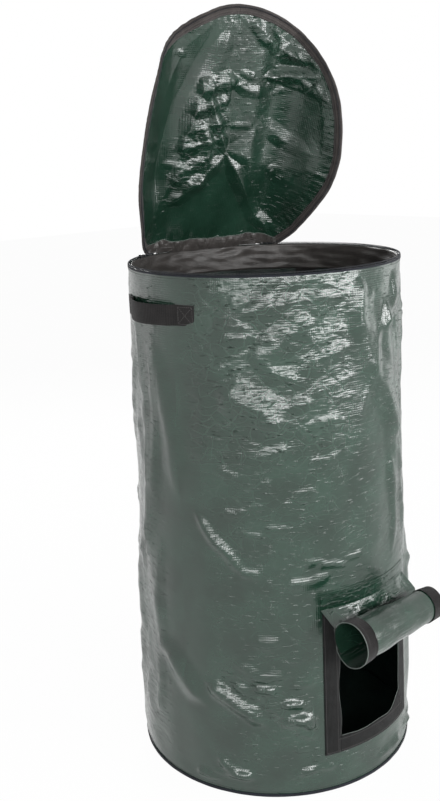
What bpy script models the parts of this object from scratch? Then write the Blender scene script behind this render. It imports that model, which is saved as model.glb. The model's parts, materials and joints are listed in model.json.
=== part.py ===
# Garden compost bag: a round standing bag of woven plastic tarpaulin with a zipped lid that stands open,
# two webbing handles, and an emptying window near the floor under a rolled-up cloth flap.
# Metres, +Z up. The origin is on the floor under the middle of the bag, and the window faces -Y.
# An azimuth is counted in degrees from -Y towards +X, seen as anticlockwise from above.
import math

import bmesh
import bpy
from mathutils import Matrix, Vector

# Body of the bag
bag_height = 0.800
base_radius = 0.225
rim_radius = 0.209
wall_thickness = 0.0012
touch_gap = 0.0003
round_steps = 72
floor_thickness = 0.0016
floor_edge_gap = 0.0005
base_binding_height = 0.010
base_binding_thickness = 0.0008
side_seam_azimuth = -82.0
side_seam_width = 0.012
side_seam_thickness = 0.0008
rim_band_height = 0.045
rim_band_thickness = 0.0010

# Emptying window and the hook tape around it
window_width = 0.142
window_bottom = 0.087
window_top = 0.290
tape_width = 0.025
tape_thickness = 0.0010
tape_top_clearance = 0.006

# Cloth flap, rolled up in front of the window
flap_width = 0.188
flap_seam_top = 0.325
flap_seam_height = 0.022
flap_hinge_height = 0.270
flap_wall_clearance = 0.0065
flap_panel_count = 8
flap_panel_length = 0.026
flap_thickness = 0.0010
flap_first_turn = 38.0
flap_turn_growth = 3.0
flap_tape_width = 0.023
flap_tape_thickness = 0.0008

# Lid, three panels that curl forward when it stands open and lie flat when it is shut
lid_radius = 0.221
lid_azimuth = 167.0
lid_lean = 21.0
lid_hinge_distance = 0.186
lid_centre_offset = 0.007
lid_height_over_rim = 0.010
lid_thickness = 0.0010
lid_fold_offset = 0.105
lid_fold_left = 50.0
lid_fold_right = 56.0
lid_wing_trim = 0.026
binding_width = 0.014
binding_thickness = 0.0030
binding_edge_wall = 0.0012
lid_coil_inset = 0.0035
piping_radius = 0.0011
hinge_seam_overlap = 0.0025
arc_step = 6.0

# Zip around the mouth
coil_radius = 0.0014
zip_half_break = 31.0
stop_width = 0.0040
slider_park = 10.0
slider_length = 0.011
slider_plate = 0.0011
slider_depth = 0.0060
lug_thickness = 0.0012
lug_reach = 0.0040
lug_height = 0.0034
pull_pin_radius = 0.0007
pull_eye_clearance = 0.0004
pull_eye_wall = 0.0009
pull_width = 0.0060
pull_length = 0.026
pull_thickness = 0.0012

# Webbing handles
handle_azimuth = 96.0
handle_height = 0.743
handle_width = 0.030
handle_thickness = 0.0014
handle_half_span = 24.5
handle_patch_span = 8.4
handle_ramp_span = 4.2
handle_root_standoff = 0.0075
handle_middle_standoff = 0.016
handle_points_per_degree = 0.5


def wall_radius(height):
    """Outer radius of the tapered wall at a height."""
    return base_radius + (rim_radius - base_radius) * height / bag_height


def around(radius, azimuth, height):
    """Point at a radius from the bag's axis."""
    angle = math.radians(azimuth)
    return Vector((radius * math.sin(angle), -radius * math.cos(angle), height))


# Values worked out from the sizes above
wall_slope = math.atan2(base_radius - rim_radius, bag_height)
flap_hinge_distance = wall_radius(flap_hinge_height) + flap_wall_clearance
lid_centre = lid_hinge_distance - lid_centre_offset
lid_hinge_height = bag_height + lid_height_over_rim
binding_half = binding_thickness / 2
panel_radius = lid_radius - binding_edge_wall - touch_gap
fold_gap = touch_gap
coil_track_radius = rim_radius - wall_thickness / 2
coil_height = bag_height + touch_gap + coil_radius
zip_start = lid_azimuth + zip_half_break
zip_end = lid_azimuth + 360.0 - zip_half_break
slider_azimuth = zip_start + slider_park


def clear_scene():
    for item in list(bpy.data.objects):
        bpy.data.objects.remove(item, do_unlink=True)


def make_collection(name):
    group = bpy.data.collections.new(name)
    bpy.context.scene.collection.children.link(group)
    return group


def make_material(name, colour, roughness, metallic=0.0):
    material = bpy.data.materials.new(name)
    material.use_nodes = True
    shader = material.node_tree.nodes["Principled BSDF"]
    shader.inputs["Base Color"].default_value = (*colour, 1.0)
    shader.inputs["Roughness"].default_value = roughness
    shader.inputs["Metallic"].default_value = metallic
    material.diffuse_color = (*colour, 1.0)
    return material


def add_object(name, data, material=None, group=None, parent=None):
    item = bpy.data.objects.new(name, data)
    (group or bag_parts).objects.link(item)
    if material:
        data.materials.append(material)
    if parent:
        item.parent = parent
    return item


def add_pivot(name, matrix, parent=None):
    """Empty on a joint's axis, placed in its parent's frame."""
    pivot = bpy.data.objects.new(name, None)
    pivot.empty_display_size = 0.03
    bag_parts.objects.link(pivot)
    pivot.parent = parent
    pivot.matrix_local = matrix
    return pivot


def finish_mesh(name, shape, material=None, group=None, parent=None, smooth=False):
    bmesh.ops.recalc_face_normals(shape, faces=shape.faces)
    mesh = bpy.data.meshes.new(name)
    shape.to_mesh(mesh)
    shape.free()
    if smooth:
        mesh.shade_smooth()
        mesh.set_sharp_from_angle(angle=math.radians(40))
    return add_object(name, mesh, material, group, parent)


def turned(name, profile, material):
    """Closed profile (outer side first, top to bottom) turned about the bag's axis."""
    mesh = bpy.data.meshes.new(name)
    edges = [(index, (index + 1) % len(profile)) for index in range(len(profile))]
    mesh.from_pydata([(radius, 0, height) for radius, height in profile], edges, [])
    item = add_object(name, mesh, material)
    screw = item.modifiers.new("turn", "SCREW")
    screw.steps = round_steps
    screw.render_steps = round_steps
    screw.use_merge_vertices = True
    screw.merge_threshold = 0.00005
    screw.use_smooth_shade = False
    return item


def wall_ring(name, low, high, standoff, thickness, material):
    """Ring that follows the tapered wall, from a standoff outside it (or inside, if negative)."""
    profile = [(wall_radius(high) + standoff + thickness, high), (wall_radius(low) + standoff + thickness, low),
               (wall_radius(low) + standoff, low), (wall_radius(high) + standoff, high)]
    return turned(name, profile, material)


def wall_strip(name, azimuths, heights, standoff, thickness, material, columns=8):
    """Piece of tape that lies on the tapered wall."""
    shape = bmesh.new()
    bmesh.ops.create_grid(shape, x_segments=columns, y_segments=1, size=0.5)
    for vertex in shape.verts:
        azimuth = azimuths[0] + (azimuths[1] - azimuths[0]) * (vertex.co.x + 0.5)
        height = heights[0] + (heights[1] - heights[0]) * (vertex.co.y + 0.5)
        vertex.co = around(wall_radius(height) + standoff, azimuth, height)
    item = finish_strip(name, shape, material)
    thicken(item, thickness, 1.0)
    return item


def finish_strip(name, shape, material):
    """Open surface whose faces already point away from the bag's axis."""
    mesh = bpy.data.meshes.new(name)
    shape.to_mesh(mesh)
    shape.free()
    return add_object(name, mesh, material)


def thicken(item, thickness, side):
    solidify = item.modifiers.new("thickness", "SOLIDIFY")
    solidify.thickness = thickness
    solidify.offset = side
    solidify.use_even_offset = True


def box(name, low, high, material=None, group=None, parent=None):
    shape = bmesh.new()
    size = [high[axis] - low[axis] for axis in range(3)]
    middle = [(high[axis] + low[axis]) / 2 for axis in range(3)]
    bmesh.ops.create_cube(shape, size=1.0, matrix=Matrix.Translation(middle) @ Matrix.Diagonal((*size, 1.0)))
    return finish_mesh(name, shape, material, group, parent)


def cylinder(name, radius, length, matrix, material=None, group=None, parent=None, segments=16):
    shape = bmesh.new()
    bmesh.ops.create_cone(shape, cap_ends=True, segments=segments, radius1=radius, radius2=radius,
                          depth=length, matrix=matrix)
    return finish_mesh(name, shape, material, group, parent, smooth=True)


def as_cutter(item):
    item.hide_render = True
    item.display_type = "WIRE"
    return item


def combine(item, other, operation):
    change = item.modifiers.new(operation.lower(), "BOOLEAN")
    change.operation = operation
    change.solver = "EXACT"
    change.object = as_cutter(other)


def tube(name, points, radius, material, parent=None):
    curve = bpy.data.curves.new(name, "CURVE")
    curve.dimensions = "3D"
    curve.bevel_depth = radius
    curve.bevel_resolution = 2
    curve.use_fill_caps = True
    spline = curve.splines.new("POLY")
    spline.points.add(len(points) - 1)
    for point, place in zip(spline.points, points):
        point.co = (*place, 1.0)
    return add_object(name, curve, material, parent=parent)


def plate(name, outline, thickness, material, parent=None):
    """Flat outline in the local XY plane, centred on it."""
    curve = bpy.data.curves.new(name, "CURVE")
    curve.dimensions = "2D"
    curve.fill_mode = "BOTH"
    curve.extrude = thickness / 2
    spline = curve.splines.new("POLY")
    spline.points.add(len(outline) - 1)
    for point, (across, along) in zip(spline.points, outline):
        point.co = (across, along, 0.0, 1.0)
    spline.use_cyclic_u = True
    return add_object(name, curve, material, parent=parent)


def curve_to_mesh(item):
    """Replace a curve object by a welded mesh object that modifiers can cut."""
    bpy.context.view_layer.update()
    name, material, parent = item.name, item.data.materials[0], item.parent
    place = item.matrix_local.copy()
    ready = item.evaluated_get(bpy.context.evaluated_depsgraph_get())
    shape = bmesh.new()
    mesh = bpy.data.meshes.new_from_object(ready)
    shape.from_mesh(mesh)
    bmesh.ops.remove_doubles(shape, verts=shape.verts, dist=0.00001)
    bpy.data.meshes.remove(mesh)
    bpy.data.objects.remove(item, do_unlink=True)
    result = finish_mesh(name, shape, material, parent=parent)
    result.matrix_local = place
    return result


def arc(radius, start, end, centre=(0.0, 0.0)):
    """Points along a circle between two angles in degrees, both ends included."""
    count = max(2, math.ceil(abs(end - start) / arc_step))
    points = []
    for index in range(count + 1):
        angle = math.radians(start + (end - start) * index / count)
        points.append((centre[0] + radius * math.cos(angle), centre[1] + radius * math.sin(angle)))
    return points


def make_body():
    wall_ring("base_binding", touch_gap, base_binding_height, touch_gap, base_binding_thickness, binding_cloth)
    floor_radius = base_radius - wall_thickness - floor_edge_gap
    floor_place = Matrix.Translation((0, 0, floor_thickness / 2))
    cylinder("floor_disc", floor_radius, floor_thickness, floor_place, tarpaulin_inside, segments=round_steps)

    wall = wall_ring("wall_panel", 0.0, bag_height, -wall_thickness, wall_thickness, tarpaulin)
    cut_low = (-window_width / 2, -base_radius - wall_thickness, window_bottom)
    cut_high = (window_width / 2, -base_radius / 2, window_top)
    combine(wall, box("window_cutter", cut_low, cut_high, group=cutters), "DIFFERENCE")

    seam_half = math.degrees(side_seam_width / 2 / base_radius)
    wall_strip("side_seam", (side_seam_azimuth - seam_half, side_seam_azimuth + seam_half),
               (floor_thickness + touch_gap, bag_height - rim_band_height - 2 * touch_gap),
               -wall_thickness - touch_gap - side_seam_thickness, side_seam_thickness, tarpaulin_inside, 2)
    wall_ring("rim_band", bag_height - rim_band_height, bag_height - 2 * touch_gap,
              -wall_thickness - touch_gap - rim_band_thickness, rim_band_thickness, binding_cloth)


def make_window_tape():
    """Three strips of hook tape, the side ones running down past the bottom one."""
    half_window = math.degrees(math.asin(window_width / 2 / wall_radius(window_bottom)))
    tape_angle = math.degrees(tape_width / base_radius)
    tape_bottom = window_bottom - tape_width - touch_gap
    gap_angle = math.degrees(touch_gap / base_radius)
    for side, name in ((-1, "window_tape_left"), (1, "window_tape_right")):
        edges = sorted((side * half_window, side * (half_window + tape_angle)))
        wall_strip(name, edges, (tape_bottom, flap_seam_top - flap_seam_height - tape_top_clearance),
                   touch_gap, tape_thickness, hook_tape, 3)
    wall_strip("window_tape_bottom", (gap_angle - half_window, half_window - gap_angle),
               (tape_bottom, tape_bottom + tape_width), touch_gap, tape_thickness, hook_tape, 12)


def make_flap_header():
    """Top of the flap: sewn round the wall, then drawn out to the straight line where the roll starts."""
    seam_bottom = flap_seam_top - flap_seam_height
    half_angle = math.degrees(math.asin(flap_width / 2 / wall_radius(flap_seam_top)))
    rows = 4
    seam_row = 3
    shape = bmesh.new()
    bmesh.ops.create_grid(shape, x_segments=12, y_segments=rows, size=0.5)
    for vertex in shape.verts:
        across = vertex.co.x
        row = round((vertex.co.y + 0.5) * rows)
        seam_height = seam_bottom if row < rows else flap_seam_top
        on_wall = wall_radius(seam_height) + touch_gap + flap_thickness
        sewn = around(on_wall, 2 * across * half_angle, seam_height)
        straight = Vector((across * flap_width, -flap_hinge_distance, flap_hinge_height + touch_gap))
        vertex.co = straight.lerp(sewn, min(1.0, row / seam_row))
    header = finish_strip("flap_header", shape, tarpaulin)
    thicken(header, flap_thickness, -1.0)


def make_flap():
    """Chain of cloth panels, each turned further outwards than the one before, with loop tape on their backs."""
    slope = Matrix.Translation((0, -flap_hinge_distance, flap_hinge_height)) @ Matrix.Rotation(-wall_slope, 4, "X")
    parent = add_pivot("flap_line", slope)
    half = flap_width / 2
    drop = 0.0
    for index in range(flap_panel_count):
        turn = math.radians(flap_first_turn + flap_turn_growth * index)
        parent = add_pivot(f"flap_axis_{index + 1}",
                           Matrix.Translation((0, 0, -drop)) @ Matrix.Rotation(-turn, 4, "X"), parent)
        drop = flap_panel_length
        top, bottom = -touch_gap, touch_gap - flap_panel_length
        box(f"flap_panel_{index + 1}", (-half, 0, bottom), (half, flap_thickness, top), tarpaulin, parent=parent)
        tape_low = flap_thickness + touch_gap
        tape_high = tape_low + flap_tape_thickness
        if index == flap_panel_count - 1:
            box("flap_tape_bottom", (-half, tape_low, bottom), (half, tape_high, top), loop_tape, parent=parent)
            continue
        for side, label in ((-1, "left"), (1, "right")):
            edges = sorted((side * half, side * (half - flap_tape_width)))
            box(f"flap_tape_{label}_{index + 1}", (edges[0], tape_low, bottom), (edges[1], tape_high, top),
                loop_tape, parent=parent)


def lid_plate_outline(low, high, bottom):
    """Part of the lid's disc between two fold lines, in the lid's plane."""
    centre = (0.0, lid_centre)
    if low < 0 < high:
        edge = math.degrees(math.acos(high / panel_radius))
        return [(low, bottom), (high, bottom)] + arc(panel_radius, edge, 180.0 - edge, centre)
    first = math.degrees(math.asin((bottom - lid_centre) / panel_radius))
    last = math.degrees(math.acos(low / panel_radius))
    return [(low, bottom)] + arc(panel_radius, first, last, centre)


def lid_band_outline(low, high, bottom):
    """The same part of the binding along the lid's edge."""
    centre = (0.0, lid_centre)
    inner = lid_radius - binding_width
    bands = []
    for radius in (lid_radius, inner):
        last = math.degrees(math.acos((high if low < 0 else low) / radius))
        if low < 0:
            bands.append(arc(radius, last, 180.0 - last, centre))
        else:
            first = math.degrees(math.asin((bottom - lid_centre) / radius))
            bands.append(arc(radius, first, last, centre))
    return bands[0] + bands[1][::-1]


def shifted(outline, side, shift):
    """Outline seen from its fold line: mirrored to its side, then moved."""
    return [(side * across - shift, along) for across, along in outline]


def make_lid_part(name, low, high, bottom, side, parent, shift, depth):
    """One stiff third of the lid: its cloth, the binding round its edge and the zip coil under that."""
    lift = Matrix.Translation((0, 0, depth))
    panel = plate(f"lid_{name}_panel", shifted(lid_plate_outline(low, high, bottom), side, shift), lid_thickness,
                  tarpaulin_inside, parent)
    panel.matrix_local = lift
    binding = plate(f"lid_{name}_binding", shifted(lid_band_outline(low, high, bottom), side, shift),
                    binding_thickness, binding_cloth, parent)
    binding.matrix_local = lift
    binding = curve_to_mesh(binding)
    slot_place = Matrix.Translation((-shift, lid_centre, depth))
    slot = cylinder(f"slot_{name}_cutter", panel_radius + touch_gap, lid_thickness + 2 * touch_gap, slot_place,
                    group=cutters, parent=parent, segments=round_steps)
    combine(binding, slot, "DIFFERENCE")

    track = lid_radius - lid_coil_inset
    trim = 2 * coil_radius + touch_gap
    last = math.degrees(math.acos((high - trim if low < 0 else low + trim) / track))
    first = last if low < 0 else math.degrees(math.asin((bottom + coil_radius - lid_centre) / track))
    last = 180.0 - last if low < 0 else last
    under = depth - binding_half - touch_gap - coil_radius
    points = [(side * x - shift, y, under) for x, y in arc(track, first, last, (0.0, lid_centre))]
    tube(f"lid_{name}_zip_coil", points, coil_radius, zip_plastic, parent)


def make_lid():
    lean = math.radians(lid_lean)
    outward = around(1.0, lid_azimuth, 0.0)
    across = around(1.0, lid_azimuth + 90.0, 0.0)
    up = Vector((0, 0, 1))
    along = up * math.cos(lean) - outward * math.sin(lean)
    away = outward * math.cos(lean) + up * math.sin(lean)
    hinge = outward * lid_hinge_distance + up * lid_hinge_height
    place = Matrix((across, along, away)).transposed().to_4x4()
    place.translation = hinge
    lid_axis = add_pivot("lid_axis", place)
    start = piping_radius + touch_gap
    tube("lid_hinge_piping", [(-lid_fold_offset, 0, 0), (lid_fold_offset, 0, 0)], piping_radius, binding_cloth,
         lid_axis)
    edge = lid_fold_offset - fold_gap
    make_lid_part("middle", -edge, edge, start, 1, lid_axis, 0.0, 0.0)
    folds = (("left", 1, lid_fold_left), ("right", -1, lid_fold_right))
    for name, side, fold in folds:
        fold_place = (Matrix.Translation((side * lid_fold_offset, 0, -binding_half))
                      @ Matrix.Rotation(side * math.radians(fold), 4, "Y"))
        fold_axis = add_pivot(f"lid_{name}_axis", fold_place, lid_axis)
        make_lid_part(name, lid_fold_offset + fold_gap, lid_radius, lid_wing_trim, side, fold_axis,
                      side * lid_fold_offset, binding_half)


def make_hinge_seam():
    """Rolled seam that carries the lid's cloth hinge: the strip of the mouth between the rim and the hinge line."""
    chord = lid_hinge_distance - hinge_seam_overlap
    outer = rim_radius - touch_gap
    half = math.degrees(math.acos(chord / outer))
    low = bag_height + touch_gap
    high = lid_hinge_height - piping_radius - touch_gap
    seam = plate("lid_hinge_seam", arc(outer, -half, half), high - low, binding_cloth)
    seam.location = (0, 0, (low + high) / 2)
    seam.rotation_euler = (0, 0, math.radians(lid_azimuth - 90.0))


def make_zip_track():
    count = math.ceil((zip_end - zip_start) / arc_step)
    points = [around(coil_track_radius, zip_start + (zip_end - zip_start) * index / count, coil_height)
              for index in range(count + 1)]
    tube("rim_zip_coil", points, coil_radius, zip_plastic)

    stop_angle = math.degrees(stop_width / 2 / rim_radius)
    clear_angle = math.degrees(touch_gap / rim_radius)
    places = {"zip_stop_start": zip_start - stop_angle - clear_angle,
              "zip_stop_end": zip_end + stop_angle + clear_angle}
    for name, azimuth in places.items():
        low = (-stop_width / 2, -coil_track_radius - coil_radius, coil_height - coil_radius)
        high = (stop_width / 2, coil_radius - coil_track_radius, coil_height + coil_radius)
        stop = box(name, low, high, zip_metal)
        stop.rotation_euler = (0, 0, math.radians(azimuth))


def make_slider():
    """Slider that straddles the coil and the top of the wall, with a pull tab hung on its outer plate."""
    turn = Matrix.Rotation(math.radians(slider_azimuth), 4, "Z")
    seat = add_pivot("zip_axis", turn)
    half = slider_length / 2
    outer_face = coil_track_radius + coil_radius + touch_gap
    inner_face = rim_radius - wall_thickness - 2 * touch_gap - rim_band_thickness
    top = coil_height + coil_radius + touch_gap
    bottom = bag_height - slider_depth
    slider = box("zip_slider", (-half, -outer_face - slider_plate, bottom),
                 (half, slider_plate - inner_face, top + slider_plate), zip_metal, parent=seat)
    channel = box("slider_channel_cutter", (-slider_length, -outer_face, bottom - slider_plate),
                  (slider_length, -inner_face, top), group=cutters, parent=seat)
    combine(slider, channel, "DIFFERENCE")

    pin_y = -outer_face - slider_plate - lug_reach + lug_thickness
    pin_z = bag_height - slider_depth / 2
    lug_inside = pull_width / 2 + touch_gap
    for side in (-1, 1):
        inner, outer = side * lug_inside, side * (lug_inside + lug_thickness)
        lug = box(f"lug_{side + 1}_cutter",
                  (min(inner, outer), -outer_face - slider_plate - lug_reach, pin_z - lug_height / 2),
                  (max(inner, outer), -outer_face - slider_plate / 2, pin_z + lug_height / 2),
                  group=cutters, parent=seat)
        combine(slider, lug, "UNION")
    sideways = Matrix.Translation((0, pin_y, pin_z)) @ Matrix.Rotation(math.radians(90), 4, "Y")
    pin = cylinder("pull_pin_cutter", pull_pin_radius, 2 * lug_inside + lug_thickness, sideways, group=cutters,
                   parent=seat, segments=12)
    combine(slider, pin, "UNION")

    pull_axis = add_pivot("pull_axis", Matrix.Translation((0, pin_y, pin_z)), seat)
    hole_radius = pull_pin_radius + pull_eye_clearance
    eye_radius = hole_radius + pull_eye_wall
    lengthwise = Matrix.Rotation(math.radians(90), 4, "Y")
    tab = cylinder("zip_pull_tab", eye_radius, pull_width, lengthwise, zip_metal, parent=pull_axis)
    blade_low = (-pull_width / 2, -pull_thickness / 2, -pull_length)
    blade = box("pull_blade_cutter", blade_low, (pull_width / 2, pull_thickness / 2, -hole_radius),
                group=cutters, parent=pull_axis)
    combine(tab, blade, "UNION")
    hole = cylinder("pull_eye_cutter", hole_radius, 2 * pull_width, lengthwise, group=cutters, parent=pull_axis,
                    segments=12)
    combine(tab, hole, "DIFFERENCE")


def strap_radius(offset):
    """Distance of the strap's middle from the bag's axis, at degrees from the handle's middle."""
    seat = wall_radius(handle_height - handle_width / 2) + touch_gap + handle_thickness / 2
    patch_edge = handle_half_span - handle_patch_span
    root = patch_edge - handle_ramp_span
    away = abs(offset)
    if away >= patch_edge:
        return seat
    if away >= root:
        share = (patch_edge - away) / handle_ramp_span
        return seat + handle_root_standoff * share * share * (3 - 2 * share)
    share = math.cos(math.pi / 2 * away / root)
    return seat + handle_root_standoff + (handle_middle_standoff - handle_root_standoff) * share


def strap_outline(first, last, middle_azimuth):
    """Plan of a stretch of webbing standing on edge, with its ends cut square to the loop's hinge line."""
    count = max(4, math.ceil((last - first) * handle_points_per_degree))
    outward = around(1.0, middle_azimuth, 0.0)
    middle = []
    for index in range(count + 1):
        offset = first + (last - first) * index / count
        middle.append(around(strap_radius(offset), middle_azimuth + offset, 0.0))
    sides = ([], [])
    for index, point in enumerate(middle):
        ahead = middle[min(index + 1, count)] - middle[max(index - 1, 0)]
        across = Vector((ahead.y, -ahead.x, 0)).normalized() * handle_thickness / 2
        if index in (0, count):
            across = outward * across.length_squared / across.dot(outward)
        for side, sign in zip(sides, (1, -1)):
            side.append(point + across * sign)
    return [(point.x, point.y) for point in sides[0] + sides[1][::-1]]


def make_handle(name, azimuth):
    root = handle_half_span - handle_patch_span - handle_ramp_span
    split = math.degrees(touch_gap / base_radius)
    stretches = (("front_end", root + split, handle_half_span), ("rear_end", -handle_half_span, -root - split))
    for label, first, last in stretches:
        end = plate(f"{name}_{label}", strap_outline(first, last, azimuth), handle_width, webbing)
        end.location = (0, 0, handle_height)
    hinge = around(strap_radius(root) * math.cos(math.radians(root)), azimuth, handle_height)
    axis = add_pivot(f"{name}_axis", Matrix.Translation(hinge))
    outline = [(x - hinge.x, y - hinge.y) for x, y in strap_outline(-root, root, azimuth)]
    plate(f"{name}_loop", outline, handle_width, webbing, axis)


clear_scene()
bag_parts = make_collection("garden_compost_bag")
cutters = make_collection("cutters")
tarpaulin = make_material("woven_tarpaulin", (0.040, 0.105, 0.072), 0.35)
tarpaulin_inside = make_material("woven_tarpaulin_underside", (0.022, 0.060, 0.042), 0.35)
binding_cloth = make_material("binding_tape", (0.040, 0.035, 0.034), 0.8)
webbing = make_material("webbing", (0.022, 0.021, 0.022), 0.8)
hook_tape = make_material("hook_tape", (0.020, 0.020, 0.021), 0.95)
loop_tape = make_material("loop_tape", (0.020, 0.020, 0.021), 0.95)
zip_plastic = make_material("zip_coil", (0.020, 0.024, 0.035), 0.45)
zip_metal = make_material("zip_metal", (0.10, 0.10, 0.11), 0.35, 1.0)

make_body()
make_window_tape()
make_flap_header()
make_flap()
make_lid()
make_hinge_seam()
make_zip_track()
make_slider()
make_handle("handle_left", -handle_azimuth)
make_handle("handle_right", handle_azimuth)
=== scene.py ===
import json
import math

import bmesh
import bpy
import numpy as np
from mathutils import Matrix, Vector, noise


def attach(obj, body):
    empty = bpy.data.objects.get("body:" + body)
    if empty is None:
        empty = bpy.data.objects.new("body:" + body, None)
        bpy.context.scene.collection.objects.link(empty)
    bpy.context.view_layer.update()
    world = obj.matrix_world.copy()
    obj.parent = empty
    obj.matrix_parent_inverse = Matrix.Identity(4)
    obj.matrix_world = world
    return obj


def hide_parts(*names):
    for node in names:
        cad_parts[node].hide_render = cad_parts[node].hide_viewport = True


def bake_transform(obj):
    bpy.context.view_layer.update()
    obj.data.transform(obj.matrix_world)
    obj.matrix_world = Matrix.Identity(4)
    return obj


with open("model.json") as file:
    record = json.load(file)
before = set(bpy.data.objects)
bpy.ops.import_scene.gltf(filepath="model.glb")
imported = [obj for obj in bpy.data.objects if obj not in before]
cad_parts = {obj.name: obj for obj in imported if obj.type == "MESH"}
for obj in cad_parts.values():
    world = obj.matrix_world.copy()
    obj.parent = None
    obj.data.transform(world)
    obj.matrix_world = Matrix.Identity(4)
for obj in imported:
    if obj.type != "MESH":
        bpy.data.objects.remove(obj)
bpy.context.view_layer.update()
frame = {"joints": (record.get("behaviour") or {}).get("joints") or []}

joints = {joint["name"]: joint for joint in frame["joints"]}
mm = 0.001
upward = np.array((0.0, 0.0, 1.0))
scene = bpy.context.scene

# Sizes of the sewn bag, in metres and degrees. Azimuth 0 faces the emptying window.
bag = {"height": 0.800, "baseRadius": 0.225, "rimRadius": 0.209, "clothThickness": 0.0006, "sideSeam": -82.0}


def linear(hexColour):
    channels = [int(hexColour[place:place + 2], 16) / 255 for place in (1, 3, 5)]
    straight = [value / 12.92 if value <= 0.04045 else ((value + 0.055) / 1.055) ** 2.4 for value in channels]
    return (*straight, 1.0)


def connect(tree, node, inputs):
    # Sockets are linked, and plain values are set on the node itself
    for key, value in inputs.items():
        if isinstance(value, bpy.types.NodeSocket):
            tree.links.new(value, node.inputs[key])
        else:
            node.inputs[key].default_value = value


def addNode(tree, kind, settings=None, inputs=None):
    node = tree.nodes.new(kind)
    for key, value in (settings or {}).items():
        setattr(node, key, value)
    connect(tree, node, inputs or {})
    return node


def smooth(share):
    share = np.clip(share, 0.0, 1.0)
    return share * share * (3 - 2 * share)


def within(value, low, high, fade):
    # 1 from low to high, falling to 0 over the fade on either side
    return smooth((value - low) / fade + 1) * smooth((high - value) / fade + 1)


def noiseAt(points, perMetre, seed):
    scale = np.array(perMetre) * np.ones(3)
    return np.array([noise.noise(Vector(place)) for place in points * scale + seed * 17.3])


def nearLine(across, along, line):
    # Distance to a line of points, and how far along it the nearest place is, from 0 to 1
    points = np.array(line, float)
    spans = np.diff(points, axis=0)
    lengths = np.linalg.norm(spans, axis=1)
    runs = np.concatenate(([0.0], np.cumsum(lengths)))
    nearest = np.full(across.shape, 9.0)
    share = np.zeros(across.shape)
    for index, (start, span) in enumerate(zip(points, spans)):
        inside = ((across - start[0]) * span[0] + (along - start[1]) * span[1]) / (span @ span)
        inside = np.clip(inside, 0.0, 1.0)
        distance = np.hypot(across - start[0] - inside * span[0], along - start[1] - inside * span[1])
        closer = distance < nearest
        nearest = np.where(closer, distance, nearest)
        share = np.where(closer, (runs[index] + inside * lengths[index]) / runs[-1], share)
    return nearest, share


def insideOutline(across, along, outline, fade):
    # 1 inside a closed line, falling to 0 over the fade outside it
    closed = list(outline) + [outline[0]]
    distance = nearLine(across, along, closed)[0]
    inside = np.zeros(across.shape, bool)
    for (x0, y0), (x1, y1) in zip(closed[:-1], closed[1:]):
        if y0 != y1:
            level = (along > min(y0, y1)) & (along <= max(y0, y1))
            inside ^= level & (across < x0 + (along - y0) * (x1 - x0) / (y1 - y0))
    return np.where(inside, 1.0, smooth(1 - distance / fade))


def foldRelief(across, along, folds, crest=1.6 * mm):
    # Each fold is a ridge with flat flanks: tilt in degrees, width in mm and the line of its crest
    relief = np.zeros(across.shape)
    for tilt, width, line in folds:
        distance, share = nearLine(across, along, line)
        ends = smooth(np.minimum(share, 1 - share) / 0.22 + 0.06)
        reach = width * mm * (0.12 + 0.88 * ends)
        relief += math.tan(math.radians(tilt)) * np.clip(reach + crest - np.hypot(distance, crest), 0, None)
    return relief


def scatterFolds(random, count, outline, lengths, tilts, widths, directions):
    # Short creases with their middles inside an outline, in directions between two angles
    low, high = np.min(outline, axis=0), np.max(outline, axis=0)
    folds = []
    while len(folds) < count:
        middle = random.uniform(low, high)
        if insideOutline(middle[:1], middle[1:], outline, 0.1 * mm)[0] < 0.5:
            continue
        angle = math.radians(random.uniform(*directions))
        reach = random.uniform(*lengths) / 2 * np.array((math.cos(angle), math.sin(angle)))
        bow = random.uniform(-0.3, 0.3) * np.array((-reach[1], reach[0]))
        line = [middle - reach, middle + bow, middle + reach]
        folds.append((random.uniform(*tilts), random.uniform(*widths), line))
    return folds


def turnAbout(vectors, axis, angles):
    cosine = np.cos(angles)[:, None]
    sine = np.sin(angles)[:, None]
    return vectors * cosine + np.cross(axis, vectors) * sine + np.outer(vectors @ axis, axis) * (1 - cosine)


def bendRound(points, jointName, start, end):
    # Where flat cloth lies at rest, so that it is flat again when the joint is at its upper limit
    pivot = np.array(joints[jointName]["pos_m"], float)
    axis = np.array(joints[jointName]["axis"], float)
    axis /= np.linalg.norm(axis)
    limit = math.radians(joints[jointName]["range_deg"][1])
    span = end - start
    bent = points.copy()
    for step in range(60):
        share = smooth((bent - start) @ span / (span @ span))
        bent = (bent + turnAbout(points - pivot, axis, -share * limit) + pivot) / 2
    return bent


def gridSheet(columns, rows, place, cut):
    # Grid whose vertices are put in place by numpy, with a map of the flat cloth in metres
    shape = bmesh.new()
    bmesh.ops.create_grid(shape, x_segments=columns, y_segments=rows, size=0.5)
    across = np.array([vertex.co.x for vertex in shape.verts]) + 0.5
    along = np.array([vertex.co.y for vertex in shape.verts]) + 0.5
    flat = np.column_stack(cut(across, along))
    layer = shape.loops.layers.uv.new("cut")
    for face in shape.faces:
        for loop in face.loops:
            loop[layer].uv = flat[loop.vert.index]
    for vertex, point in zip(shape.verts, place(across, along)):
        vertex.co = point
    return shape, across, along


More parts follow.
